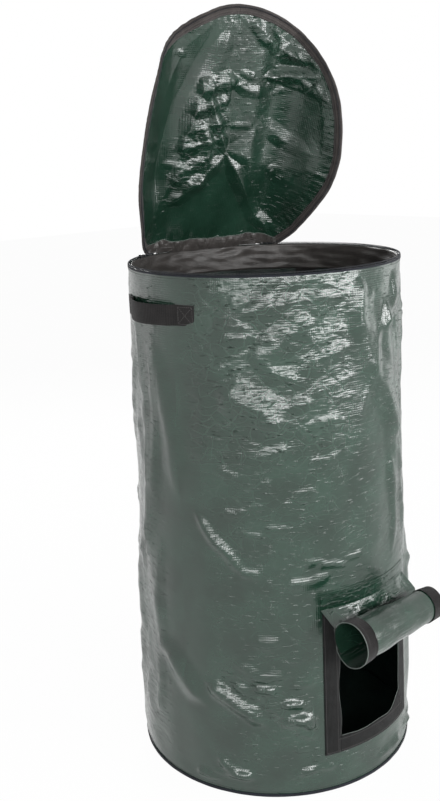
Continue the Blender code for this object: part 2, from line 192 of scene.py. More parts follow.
def finishPiece(name, shape, finishes, nodes, body=None, thickness=None, offset=0.0, normals=None):
    if isinstance(shape, bmesh.types.BMesh):
        mesh = bpy.data.meshes.new(name)
        shape.to_mesh(mesh)
        shape.free()
    else:
        mesh = shape
        mesh.name = name
    mesh.shade_smooth()
    mesh.materials.clear()
    for finish in finishes:
        mesh.materials.append(finish)
    if normals is not None:
        mesh.normals_split_custom_set_from_vertices(normals)
    piece = bpy.data.objects.new(name, mesh)
    scene.collection.objects.link(piece)
    if thickness:
        wall = piece.modifiers.new("thickness", "SOLIDIFY")
        wall.thickness = thickness
        wall.offset = offset
        wall.material_offset = len(finishes) - 1
    if body:
        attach(piece, body)
    if nodes:
        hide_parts(*nodes)
    return piece


def surfaceNormals(place, across, along, step=1e-4):
    # Unit normals of the surface that place gives, from small steps both ways
    acrossStep = place(across + step, along) - place(across - step, along)
    alongStep = place(across, along + step) - place(across, along - step)
    normals = np.cross(acrossStep, alongStep)
    return normals / np.linalg.norm(normals, axis=1)[:, None]


def doubleLayer(shape, normals, thickness):
    # Front and back of a cloth and the edge between them; returns a normal for each vertex
    order = shape.verts.layers.int.new("order")
    for index, vertex in enumerate(shape.verts):
        vertex[order] = index
    made = bmesh.ops.extrude_face_region(shape, geom=shape.faces[:], use_keep_orig=True)["geom"]
    back = {item for item in made if isinstance(item, bmesh.types.BMVert)}
    directions = [normals[vertex[order]] * (-1 if vertex in back else 1) for vertex in shape.verts]
    for vertex, direction in zip(shape.verts, directions):
        vertex.co += Vector(direction * thickness / 2)
    for face in shape.faces:
        if back.issuperset(face.verts):
            face.material_index = 1
    shape.verts.layers.int.remove(order)
    bmesh.ops.recalc_face_normals(shape, faces=shape.faces)
    return directions


def addCrumple(shape, amounts):
    layer = shape.verts.layers.float.new("crumple")
    for vertex, amount in zip(shape.verts, np.broadcast_to(amounts, len(shape.verts))):
        vertex[layer] = amount


def resample(route, spacing):
    # Evenly spaced places on a line of points, with the direction at each
    route = np.array(route, float)
    lengths = np.linalg.norm(np.diff(route, axis=0), axis=1)
    runs = np.concatenate(([0.0], np.cumsum(lengths)))
    count = max(1, int(runs[-1] / spacing))
    at = (np.arange(count) + 0.5) * runs[-1] / count
    places = np.column_stack([np.interp(at, runs, route[:, axis]) for axis in range(3)])
    ahead = np.column_stack([np.interp(at + spacing / 4, runs, route[:, axis]) for axis in range(3)])
    behind = np.column_stack([np.interp(at - spacing / 4, runs, route[:, axis]) for axis in range(3)])
    return places, ahead - behind


def stitchShape(routes, thread):
    # Each stitch is one stretched twenty-sided bead lying along its seam
    shape = bmesh.new()
    for route in routes:
        places, directions = resample(route, thread["spacing"])
        for place, direction in zip(places, directions):
            turn = Vector(direction).to_track_quat("X", "Z").to_matrix().to_4x4()
            size = Matrix.Diagonal((thread["length"], thread["width"], thread["width"], 1.0))
            bmesh.ops.create_icosphere(shape, subdivisions=1, radius=0.5,
                                       matrix=Matrix.Translation(place) @ turn @ size)
    return shape


def roundEdges(shape, edges, offset, segments):
    bmesh.ops.bevel(shape, geom=list(edges), offset=offset, segments=segments, profile=0.5, affect="EDGES",
                    material=-1)


def tubeMesh(name, routes, radius, resolution=0):
    curve = bpy.data.curves.new(name, "CURVE")
    curve.dimensions = "3D"
    curve.bevel_depth = radius
    curve.bevel_resolution = resolution
    curve.use_fill_caps = True
    for route in routes:
        spline = curve.splines.new("POLY")
        spline.points.add(len(route) - 1)
        spline.points.foreach_set("co", np.column_stack((route, np.ones(len(route)))).ravel())
    holder = bpy.data.objects.new(name, curve)
    scene.collection.objects.link(holder)
    bpy.context.view_layer.update()
    mesh = bpy.data.meshes.new_from_object(holder.evaluated_get(bpy.context.evaluated_depsgraph_get()))
    bpy.data.objects.remove(holder)
    return mesh


def coilRoute(route, coil):
    # Helix round a line of points
    places, directions = resample(route, coil["pitch"] / coil["pointsPerTurn"])
    directions /= np.linalg.norm(directions, axis=1)[:, None]
    side = np.cross(directions, coil["side"])
    side /= np.linalg.norm(side, axis=1)[:, None]
    other = np.cross(directions, side)
    angle = np.arange(len(places)) * 2 * math.pi / coil["pointsPerTurn"]
    return places + coil["radius"] * (side * np.cos(angle)[:, None] + other * np.sin(angle)[:, None])


print("finishes")


def newFinish(name):
    finish = bpy.data.materials.new(name)
    finish.use_nodes = True
    return finish, finish.node_tree, finish.node_tree.nodes["Principled BSDF"]


def combined(tree, operation, first, second, third=0.0):
    return addNode(tree, "ShaderNodeMath", {"operation": operation},
                   {0: first, 1: second, 2: third}).outputs[0]


def grain(tree, vector, size, detail, output="Fac"):
    return addNode(tree, "ShaderNodeTexNoise", None, {
        "Vector": vector, "Scale": 1 / size, "Detail": detail}).outputs[output]


def mapped(tree, value, low, high, toLow=0.0, toHigh=1.0):
    return addNode(tree, "ShaderNodeMapRange", None, {
        "Value": value, "From Min": low, "From Max": high, "To Min": toLow, "To Max": toHigh}).outputs[0]


def between(tree, share, dark, light):
    return addNode(tree, "ShaderNodeMix", {"data_type": "RGBA"}, {0: share, 6: dark, 7: light}).outputs[2]


def bumped(tree, height, depth):
    return addNode(tree, "ShaderNodeBump", None, {
        "Height": height, "Strength": 1.0, "Distance": depth}).outputs["Normal"]


def crossing(tree, cloth, pitches, uneven):
    # Two sets of tapes or threads that cross, high where both bulge
    waves = []
    for direction, pitch in zip("XY", pitches):
        inputs = dict(uneven, Vector=cloth, Scale=math.pi / 10 / pitch)
        waves.append(addNode(tree, "ShaderNodeTexWave", {"wave_type": "BANDS", "bands_direction": direction},
                             inputs).outputs["Fac"])
    return combined(tree, "MULTIPLY", *waves)


# Cloth laminated on a loom of flat polyethylene tapes: a satin film that throws back a glint from every short
# wrinkle and hard crease, and pales where a crease has opened it
tarpaulin = {
    "tapePitch": 3.2 * mm,  # real tapes are 2.5 mm wide, drawn a little coarser so that they show
    "tapeDepth": 0.14 * mm,
    "wrinkleLength": 16 * mm,
    "wrinkleHeight": 4.4 * mm,
    "wrinkleDepth": 0.8 * mm,
    "dashDepth": 14.0 * mm,  # the tops of the wrinkles stand out as separate short dashes
    "dashLevel": 0.61,  # how high a wrinkle is where its top begins, from 0 to 1
    "creaseLength": 26 * mm,
    "creaseHeight": 15 * mm,
    "creaseDepth": 1.3 * mm,
    "mottleSize": 60 * mm,
    "opened": "#5C6F66",
}


def wovenPolyethylene(name, dark, light, roughness, sheen):
    finish, tree, shader = newFinish(name)
    cloth = addNode(tree, "ShaderNodeUVMap", {"uv_map": "cut"}).outputs["UV"]
    crumple = addNode(tree, "ShaderNodeAttribute", {"attribute_name": "crumple"}).outputs["Fac"]

    def maths(operation, *values):
        return combined(tree, operation, *values)

    def scaled(vector, width, height):
        return addNode(tree, "ShaderNodeVectorMath", {"operation": "DIVIDE"},
                       {0: vector, 1: (width, height, 1.0)}).outputs[0]

    tapes = crossing(tree, cloth, (tarpaulin["tapePitch"],) * 2, {"Distortion": 0.3, "Detail": 0.0})
    wrinkled = scaled(cloth, tarpaulin["wrinkleLength"], tarpaulin["wrinkleHeight"])
    wrinkles = grain(tree, wrinkled, 1.0, 2.5)
    bent = grain(tree, cloth, 2 * tarpaulin["creaseHeight"], 1.0, "Color")
    shifted = addNode(tree, "ShaderNodeVectorMath", {"operation": "MULTIPLY_ADD"}, {
        0: bent, 1: (0.9 * tarpaulin["creaseLength"],) * 3, 2: cloth}).outputs[0]
    creases = addNode(tree, "ShaderNodeTexVoronoi", {"feature": "DISTANCE_TO_EDGE"}, {
        "Vector": scaled(shifted, tarpaulin["creaseLength"], tarpaulin["creaseHeight"]),
        "Scale": 1.0}).outputs["Distance"]
    mottle = grain(tree, cloth, tarpaulin["mottleSize"], 3.0)

    weave = maths("MULTIPLY", tapes, tarpaulin["tapeDepth"])
    liveliness = maths("ADD", crumple, 0.12)
    waviness = maths("MULTIPLY", maths("MULTIPLY", wrinkles, liveliness), tarpaulin["wrinkleDepth"])
    facets = maths("MULTIPLY", maths("MINIMUM", creases, 0.32), crumple)
    above = maths("SUBTRACT", maths("MAXIMUM", wrinkles, tarpaulin["dashLevel"]), tarpaulin["dashLevel"])
    dashes = maths("MULTIPLY", maths("MULTIPLY", above, crumple), tarpaulin["dashDepth"])
    film = maths("ADD", weave, dashes)
    height = maths("ADD", maths("MULTIPLY_ADD", facets, tarpaulin["creaseDepth"], film), waviness)

    colour = between(tree, mapped(tree, mottle, 0.36, 0.64), linear(dark), linear(light))
    opened = maths("MULTIPLY", mapped(tree, creases, 0.0, 0.05, 0.14, 0.0), crumple)
    connect(tree, shader, {
        "Base Color": between(tree, opened, colour, linear(tarpaulin["opened"])),
        "Roughness": mapped(tree, wrinkles, 0.3, 0.7, roughness - 0.06, roughness + 0.08),
        "Normal": bumped(tree, height, 1.0), "IOR": 1.51, "Specular IOR Level": sheen})
    return finish


# Woven and knitted narrow goods: crossing threads over a fine fuzz, so they look dull beside the film
def narrowWoven(name, goods):
    finish, tree, shader = newFinish(name)
    cloth = addNode(tree, "ShaderNodeUVMap", {"uv_map": "cut"}).outputs["UV"]
    threads = crossing(tree, cloth, goods["pitch"], {"Distortion": 0.6, "Detail": 1.0, "Detail Scale": 2.0})
    fuzz = grain(tree, cloth, goods["fuzz"], 3.0)
    worn = grain(tree, cloth, 25 * mm, 2.0)
    # Thread tops are coloured lighter and the gaps between them darker as painted shade, mixed with random
    # wear
    litThreadsAndWear = mapped(tree, combined(tree, "MULTIPLY_ADD", threads, 0.55, worn), 0.35, 1.05)
    connect(tree, shader, {
        "Base Color": between(tree, litThreadsAndWear, linear(goods["dark"]), linear(goods["light"])),
        "Normal": bumped(tree, combined(tree, "ADD", threads, fuzz), goods["depth"]),
        "Roughness": goods["roughness"], "Specular IOR Level": goods["gloss"],
        "Sheen Weight": goods["sheen"], "Sheen Roughness": 0.5})
    return finish


# Moulded, cast or twisted small parts: a grain too fine to see as shape, which breaks up their highlights
def smallPart(name, goods):
    finish, tree, shader = newFinish(name)
    place = addNode(tree, "ShaderNodeTexCoord").outputs["Object"]
    speckle = grain(tree, place, goods["grain"], 3.0)
    roughness = goods["roughness"]
    connect(tree, shader, {
        "Base Color": between(tree, speckle, linear(goods["dark"]), linear(goods["light"])),
        "Roughness": mapped(tree, speckle, 0.3, 0.7, roughness - 0.08, roughness + 0.08),
        "Normal": bumped(tree, speckle, goods["depth"])})
    return finish


clothOutside = wovenPolyethylene("laminated woven polyethylene, outside", "#152C21", "#1F392D", 0.18, 0.80)
# The underside is the same cloth as the outside; its darker colour is painted shade
clothUndersidePaintedShade = wovenPolyethylene("laminated woven polyethylene, underside", "#131F19", "#1C2D25",
                                   0.20, 0.90)
# The inner face is the same cloth as the outside; its darker colour is painted shade for the bag's shaded
# inside
clothInsidePaintedShade = wovenPolyethylene("laminated woven polyethylene, inner face", "#141D1A", "#1C2925", 0.36, 0.35)
bindingTape = narrowWoven("polypropylene binding tape, plain woven", {
    "pitch": (2.4 * mm, 2.4 * mm), "fuzz": 1.2 * mm, "depth": 0.25 * mm,
    "dark": "#343130", "light": "#524D4B", "roughness": 0.80, "sheen": 0.10, "gloss": 0.20})
hemCloth = narrowWoven("polypropylene hem cloth, plain woven and gathered", {
    "pitch": (2.4 * mm, 2.4 * mm), "fuzz": 1.4 * mm, "depth": 0.20 * mm,
    "dark": "#33312F", "light": "#4A4644", "roughness": 0.36, "sheen": 0.05, "gloss": 0.50})
hemTape = narrowWoven("polyester hem tape, tightly woven", {
    "pitch": (2.2 * mm, 2.2 * mm), "fuzz": 1.5 * mm, "depth": 0.20 * mm,
    "dark": "#14161B", "light": "#23262F", "roughness": 0.78, "sheen": 0.08, "gloss": 0.18})
webbing = narrowWoven("polypropylene webbing, ribbed along its length", {
    "pitch": (3.0 * mm, 2.2 * mm), "fuzz": 1.5 * mm, "depth": 0.45 * mm,
    "dark": "#171616", "light": "#2A2828", "roughness": 0.75, "sheen": 0.08, "gloss": 0.18})
hookTape = narrowWoven("nylon hook tape, moulded hooks on a knitted ground", {
    "pitch": (2.0 * mm, 2.0 * mm), "fuzz": 0.9 * mm, "depth": 0.60 * mm,
    "dark": "#101010", "light": "#232424", "roughness": 0.90, "sheen": 0.08, "gloss": 0.15})
loopTape = narrowWoven("nylon loop tape, brushed loops", {
    "pitch": (2.4 * mm, 2.4 * mm), "fuzz": 1.4 * mm, "depth": 0.55 * mm,
    "dark": "#151414", "light": "#292727", "roughness": 0.95, "sheen": 0.12, "gloss": 0.12})
nylonCoil = smallPart("nylon coil, wound and set", {
    "grain": 1.5 * mm, "depth": 0.05 * mm, "dark": "#16181D", "light": "#24272E", "roughness": 0.42})
paintedZinc = smallPart("die-cast zinc, black painted", {
    "grain": 0.6 * mm, "depth": 0.03 * mm, "dark": "#242425", "light": "#333334", "roughness": 0.36})
blackThread = smallPart("polyester thread, twisted", {
    "grain": 0.8 * mm, "depth": 0.08 * mm, "dark": "#181717", "light": "#302E2E", "roughness": 0.60})
# Thin pale tubes laid along edges: their pale colour is a painted highlight on the film's edge
paleEdgePaintedHighlight = smallPart("film edge, pale as a painted highlight", {
    "grain": 2.5 * mm, "depth": 0.12 * mm, "dark": "#4A524E", "light": "#7F8883", "roughness": 0.40})
greyThread = smallPart("polyester thread, twisted, worn grey", {
    "grain": 0.8 * mm, "depth": 0.08 * mm, "dark": "#464343", "light": "#686464", "roughness": 0.60})


print("bag wall")


def wallRadius(height):
    return bag["baseRadius"] + (bag["rimRadius"] - bag["baseRadius"]) * height / bag["height"]


def around(radius, azimuth, height):
    angle = np.radians(azimuth)
    return np.column_stack((radius * np.sin(angle), -radius * np.cos(angle), height + 0 * angle))


window = {"width": 0.142, "bottom": 0.087, "top": 0.290, "tapeWidth": 0.025, "tapeStandoff": 0.0003,
          "edgeWave": 0.9, "cornerRise": 0.022}
handle = {"azimuth": 96.0, "height": 0.743, "width": 0.030, "thickness": 0.0014, "halfSpan": 24.5,
          "patch": 8.4, "ramp": 4.2, "rootStandoff": 0.0075, "middleStandoff": 0.016, "seamInset": 0.9,
          "seamMargin": 3 * mm, "cupping": 0.5 * mm}

# Folds that the photograph shows on the wall: tilt in degrees, flank in mm, then (azimuth, height in metres)
wallFolds = [
    (9, 34, [(-71, 0.716), (-60, 0.716), (-55, 0.737), (-49, 0.756), (-34, 0.762), (-12, 0.769)]),
    (7, 13, [(-68, 0.784), (-57, 0.775)]),
    (11, 27, [(-52, 0.690), (-45, 0.692), (-37, 0.709), (-32, 0.726), (-24, 0.736)]),
    (11, 16, [(-24, 0.682), (-12, 0.689)]),
    (11, 10, [(-32, 0.668), (-21, 0.672)]),
    (11, 10, [(-45, 0.667), (-38, 0.670)]),
    (11, 11, [(-72, 0.699), (-64, 0.687)]),
    (12, 10, [(-69, 0.663), (-59, 0.675)]),
    (16, 32, [(-64, 0.642), (-54, 0.624), (-46, 0.610), (-36, 0.574)]),
    (13, 10, [(-41, 0.613), (-27, 0.624)]),
    (14, 10, [(-30, 0.582), (-14, 0.592)]),
    (16, 10, [(-49, 0.542), (-36, 0.556)]),
    (31, 10, [(-75, 0.456), (-66, 0.415), (-53, 0.360)]),
    (21, 10, [(-56, 0.366), (-47, 0.366)]),
    (33, 16, [(-74, 0.186), (-62, 0.159), (-47, 0.123)]),
    (13, 27, [(-6, 0.799), (-4, 0.726), (0, 0.666), (10, 0.614), (21, 0.526)]),
    (14, 19, [(8, 0.700), (20, 0.756), (25, 0.795)]),
    (13, 17, [(-5, 0.700), (-6, 0.790)]),
    (10, 27, [(11, 0.746), (17, 0.593), (19, 0.400)]),
    (14, 23, [(-97, 0.715), (-91, 0.629), (-85, 0.557), (-83, 0.466)]),
    (10, 27, [(-100, 0.590), (-102, 0.415), (-99, 0.216)]),
    (12, 26, [(-98, 0.235), (-86, 0.190), (-72, 0.140)]),
    (12, 20, [(-92, 0.215), (-82, 0.172), (-74, 0.150)]),
    (34, 10, [(-68, 0.060), (-60, 0.036), (-52, 0.030)]),
    (20, 11, [(-98, 0.700), (-96, 0.560), (-99, 0.430)]),
    (21, 10, [(-104, 0.660), (-103, 0.480), (-107, 0.330)]),
    (18, 11, [(-94, 0.420), (-97, 0.300), (-95, 0.180)]),
    (18, 13, [(-110, 0.760), (-106, 0.600)]),
    (19, 10, [(-98, 0.170), (-101, 0.080)]),
    (21, 10, [(24, 0.720), (22, 0.560), (26, 0.420)]),
    (19, 10, [(30, 0.640), (27, 0.470), (30, 0.350)]),
    (18, 10, [(13, 0.520), (18, 0.410), (16, 0.345)]),
    (18, 11, [(34, 0.760), (31, 0.600)]),
    (22, 10, [(-40, 0.345), (-28, 0.350), (-20, 0.362)]),
    (25, 10, [(-52, 0.262), (-41, 0.258)]),
    (27, 10, [(-60, 0.220), (-48, 0.203), (-38, 0.205)]),
]
wallSettings = {
    "seed": 5, "longWrinkles": 34, "shortWrinkles": 30, "swell": 4.5 * mm, "ripple": 2.0 * mm,
    "crinkle": 1.5 * mm, "fineCrinkle": 0.5 * mm, "drift": 4.0 * mm,
    "columns": ((-82.0, None, None, 60.0, 278.0), (0, 72, 104, 132, 226)),
    "rows": ((0.0, 0.087, 0.290, 0.800), (0, 20, 64, 206)),
}
meanRadius = (bag["baseRadius"] + bag["rimRadius"]) / 2


def foldMap(azimuth):
    return np.radians(azimuth) * meanRadius


def onWall(places):
    return [(math.radians(azimuth) * meanRadius, height) for azimuth, height in places]


random = np.random.default_rng(wallSettings["seed"])
unseenFolds = []
for index in range(wallSettings["longWrinkles"]):  # loose upright wrinkles where the photograph doesn't look
    middle = random.uniform(28, 252)
    low = random.uniform(0.04, 0.55)
    tall = random.uniform(0.10, 0.30)
    lean = random.uniform(-9, 9)
    crest = [(middle - lean, low), (middle + random.uniform(-3, 3), low + tall / 2),
             (middle + lean, low + tall)]
    unseenFolds.append((random.uniform(7, 15), random.uniform(12, 24), onWall(crest)))
for index in range(wallSettings["shortWrinkles"]):  # short creases from folding it flat
    middle = random.uniform(35, 245)
    low = random.uniform(0.10, 0.76)
    half = random.uniform(5, 12)
    rise = random.uniform(-0.035, 0.035)
    crest = [(middle - half, low - rise), (middle, low + random.uniform(-0.01, 0.01)),
             (middle + half, low + rise)]
    unseenFolds.append((random.uniform(8, 16), random.uniform(7, 14), onWall(crest)))
# Creases too many to draw one by one, where the photograph shows the film crushed
crushed = [
    {"count": 20, "outline": [(-66, 0.775), (-15, 0.775), (-14, 0.640), (-26, 0.470), (-62, 0.560)],
     "lengths": (0.020, 0.060), "tilts": (9, 15), "widths": (6, 10), "directions": (-35, 35)},
    {"count": 11, "outline": [(-64, 0.560), (-24, 0.470), (-30, 0.400), (-60, 0.440)],
     "lengths": (0.018, 0.050), "tilts": (15, 22), "widths": (5, 8), "directions": (-14, 14)},
    {"count": 13, "outline": [(-70, 0.400), (4, 0.400), (-30, 0.060), (-64, 0.060)],
     "lengths": (0.026, 0.060), "tilts": (24, 32), "widths": (4, 6), "directions": (-8, 8)},
    {"count": 16, "outline": [(-66, 0.195), (-50, 0.150), (-28, 0.100), (-28, 0.135), (-50, 0.185)],
     "lengths": (0.034, 0.060), "tilts": (26, 34), "widths": (5, 8), "directions": (-30, 4)},
    {"count": 12, "outline": [(-80, 0.012), (50, 0.012), (50, 0.050), (-80, 0.050)],
     "lengths": (0.040, 0.080), "tilts": (26, 34), "widths": (5, 8), "directions": (-8, 8)},
    {"count": 22, "outline": [(-2, 0.775), (50, 0.775), (50, 0.350), (20, 0.350), (-2, 0.560)],
     "lengths": (0.030, 0.090), "tilts": (9, 16), "widths": (6, 11), "directions": (65, 115)},
    {"count": 14, "outline": [(-126, 0.700), (-95, 0.700), (-95, 0.080), (-126, 0.080)],
     "lengths": (0.030, 0.100), "tilts": (10, 16), "widths": (6, 11), "directions": (75, 105)},
]
frontFolds = [(tilt, width, onWall(line)) for tilt, width, line in wallFolds]
for place in crushed:
    frontFolds += scatterFolds(random, **dict(place, outline=onWall(place["outline"])))


# Where the film is crumpled and how much: between which azimuths and heights, and the fades outside them
crumpledZones = [
    {"amount": 1.00, "azimuths": (-72, -14), "aside": 9, "heights": (0.57, 0.785), "fade": 0.09},
    {"amount": 0.50, "azimuths": (-64, -16), "aside": 10, "heights": (0.42, 0.60), "fade": 0.05},
    {"amount": 0.30, "azimuths": (-66, 6), "aside": 8, "heights": (0.04, 0.46), "fade": 0.05},
    {"amount": 0.55, "azimuths": (-128, -94), "aside": 5, "heights": (0.06, 0.77), "fade": 0.05},
    {"amount": 0.50, "azimuths": (-4, 52), "aside": 7, "heights": (0.34, 0.785), "fade": 0.06},
    {"amount": 0.45, "azimuths": (60, 232), "aside": 10, "heights": (0.1, 0.77), "fade": 0.05},
]
crumpledLeast = 0.12
# The crushed patch low on the wall, as (azimuth in hundreds of degrees, height in metres)
lowGlints = {"amount": 0.85, "fade": 0.035,
             "outline": [(-0.66, 0.195), (-0.50, 0.150), (-0.30, 0.105), (-0.30, 0.135), (-0.50, 0.185)]}


def nearTurn(azimuth):
    # From -180 to 180, with the window in the middle
    return (azimuth + 180) % 360 - 180


def farTurn(azimuth):
    # From 0 to 360, with the back in the middle
    return np.where(azimuth < 0, azimuth + 360, azimuth)


def crumpled(azimuth, height):
    # How crumpled the film is, from 0 to 1
    near = nearTurn(azimuth)
    glints = lowGlints["amount"] * insideOutline(near / 100, height, lowGlints["outline"], lowGlints["fade"])
    amounts = [glints, np.full(near.shape, crumpledLeast)]
    for zone in crumpledZones:
        turned = farTurn(azimuth) if zone["azimuths"][1] > 180 else near
        amounts.append(zone["amount"] * within(turned, *zone["azimuths"], zone["aside"])
                       * within(height, *zone["heights"], zone["fade"]))
    return np.maximum.reduce(amounts)


def lyingFlat(azimuth, height):
    # 0 where something is sewn on and the cloth lies flat, 1 where it is free
    near = nearTurn(azimuth)
    free = smooth((bag["height"] - 0.004 - height) / 0.018) * smooth((height - 0.010) / 0.018)
    free = free * (1 - within(near, -27, 27, 4) * within(height, 0.058, 0.330, 0.014))  # round the window
    half = handle["patch"] / 2
    low, high = handle["height"] - handle["width"] / 2, handle["height"] + handle["width"] / 2
    for side in (-1, 1):
        for end in (-1, 1):
            patch = side * handle["azimuth"] + end * (handle["halfSpan"] - half)
            free = free * (1 - within(near, patch - half, patch + half, 3) * within(height, low, high, 0.012))
    return free


def wallRelief(azimuth, height):
    points = around(wallRadius(height), azimuth, height)
    drift = wallSettings["drift"] * noiseAt(points, 26.0, 7)
    rise = wallSettings["drift"] * noiseAt(points, 26.0, 8)
    named = foldRelief(foldMap(nearTurn(azimuth)) + drift, height + rise, frontFolds)
    unseen = foldRelief(foldMap(farTurn(azimuth)) + drift, height + rise, unseenFolds)
    crumple = crumpled(azimuth, height)
    swell = wallSettings["swell"] * noiseAt(points, (5.0, 5.0, 2.6), 1)
    ripple = wallSettings["ripple"] * noiseAt(points, (22.0, 22.0, 7.0), 2)
    crinkle = -wallSettings["crinkle"] * crumple * np.abs(noiseAt(points, (17.0, 17.0, 26.0), 3)) * 2
    fine = -wallSettings["fineCrinkle"] * crumple * np.abs(noiseAt(points, (42.0, 42.0, 64.0), 4)) * 2
    edge = smooth((bag["height"] - height) / 0.03)
    loose = (named + unseen + ripple + crinkle + fine) * lyingFlat(azimuth, height)
    return loose + swell * edge * smooth(height / 0.03)


def wallPoint(azimuth, height, standoff=0.0):
    return around(wallRadius(height) + wallRelief(azimuth, height) + standoff, azimuth, height)


def windowHalf(height):
    # Degrees from the middle of the window to its straight upright edges
    return np.degrees(np.arcsin(window["width"] / 2 / wallRadius(height)))


def makeWall():
    azimuths, columnMarks = wallSettings["columns"]
    heights, rowMarks = wallSettings["rows"]
    columns, rows = columnMarks[-1], rowMarks[-1]

    def spread(across, along):
        height = np.interp(along * rows, rowMarks, heights)
        column = across * columns
        half = windowHalf(height)
        marks = [azimuths[0], -half, half, azimuths[3], azimuths[4]]
        azimuth = np.zeros(column.shape)
        for index in range(4):
            first, last = columnMarks[index:index + 2]
            inside = (column >= first - 0.01) & (column <= last + 0.01)
            share = (column - first) / (last - first)
            reach = marks[index] + (marks[index + 1] - marks[index]) * share
            azimuth = np.where(inside, reach, azimuth)
        return azimuth, height

    shape, across, along = gridSheet(columns, rows, lambda *at: wallPoint(*spread(*at)),
                                     lambda *at: (foldMap(spread(*at)[0]), spread(*at)[1]))
    shape.verts.ensure_lookup_table()
    addCrumple(shape, crumpled(*spread(across, along)))
    column, row = across * columns, along * rows
    opening = []
    for face in shape.faces:
        corners = [vertex.index for vertex in face.verts]
        if (columnMarks[1] < column[corners].mean() < columnMarks[2]
                and rowMarks[1] < row[corners].mean() < rowMarks[2]):
            opening.append(face)
    bmesh.ops.delete(shape, geom=opening, context="FACES")
    bmesh.ops.remove_doubles(shape, verts=shape.verts, dist=0.01 * mm)
    # The wall's inner face takes the darker inner colour, a painted shade
    return finishPiece("bagWall", shape, (clothOutside, clothInsidePaintedShade), ["wall_panel"], "bag",
                       bag["clothThickness"], -1.0)


def wallStrip(name, azimuths, heights, standoff, counts, finishes, nodes, thickness, pucker=0.0,
              puckerGrain=(70.0, 70.0, 70.0), side=1.0, topEdge=None):
    # A tape or band lying on the wall's own folds; its edges may be functions of height
    def spread(across, along):
        height = heights[0] + (heights[1] - heights[0]) * along
        low = azimuths[0](height) if callable(azimuths[0]) else azimuths[0]
        high = azimuths[1](height) if callable(azimuths[1]) else azimuths[1]
        azimuth = low + (high - low) * across
        return azimuth, height + (topEdge(azimuth) * along if topEdge else 0.0)

    def place(across, along):
        azimuth, height = spread(across, along)
        points = wallPoint(azimuth, height, standoff)
        if pucker:
            lift = pucker * (0.5 + noiseAt(points, puckerGrain, 9))
            points += around(1.0, azimuth, 0 * height) * (side * np.maximum(lift, 0.0))[:, None]
        return points

    def cut(across, along):
        azimuth, height = spread(across, along)
        return foldMap(azimuth), height

    shape = gridSheet(*counts, place, cut)[0]
    bmesh.ops.remove_doubles(shape, verts=shape.verts, dist=0.01 * mm)
    return finishPiece(name, shape, finishes, nodes, "bag", thickness, side)


def stitchLine(azimuths, heights, standoff, count=60):
    share = np.linspace(0, 1, count)
    azimuth = azimuths[0] + (azimuths[1] - azimuths[0]) * share
    height = heights[0] + (heights[1] - heights[0]) * share
    return wallPoint(azimuth, height, standoff)


seamThread = {"spacing": 3.4 * mm, "length": 2.7 * mm, "width": 0.55 * mm}
wholeTurn = (bag["sideSeam"], bag["sideSeam"] + 360)  # once round, from the side seam
trim = {"bandBottom": 0.757, "bandTop": 0.7992, "sideSeamHalf": 1.53, "tapeTop": 0.297, "rimSeam": 0.7940,
        "baseSeam": 0.0078, "seamInset": 0.7}


def sewSeams(name, routes, thread, body="bag"):
    return finishPiece(name, stitchShape(routes, seamThread), (thread,), [], body)


def makeBands():
    wallStrip("baseBinding", wholeTurn, (0.3 * mm, 5.0 * mm), 0.3 * mm, (300, 3), (hemTape,),
              ["base_binding"], 0.7 * mm, 0.3 * mm)
    band = wallStrip("rimBand", wholeTurn, (trim["bandBottom"], trim["bandTop"]), -1.7 * mm, (420, 14),
                     (hemCloth,), ["rim_band"], 0.7 * mm, 3.0 * mm, (34.0, 34.0, 125.0),
                     side=-1.0)
    seamEdges = (bag["sideSeam"] - trim["sideSeamHalf"], bag["sideSeam"] + trim["sideSeamHalf"])
    # The side seam's strip inside the wall takes the darker inner colour, a painted shade
    wallStrip("sideSeam", seamEdges, (2.2 * mm, 0.754), -1.3 * mm, (3, 150), (clothInsidePaintedShade,),
              ["side_seam"], 0.7 * mm, 0.7 * mm, side=-1.0)
    wallStrip("zipTape", wholeTurn, (0.7970, 0.8001), 0.3 * mm, (240, 2), (hemTape,), [],
              0.6 * mm, 0.25 * mm)


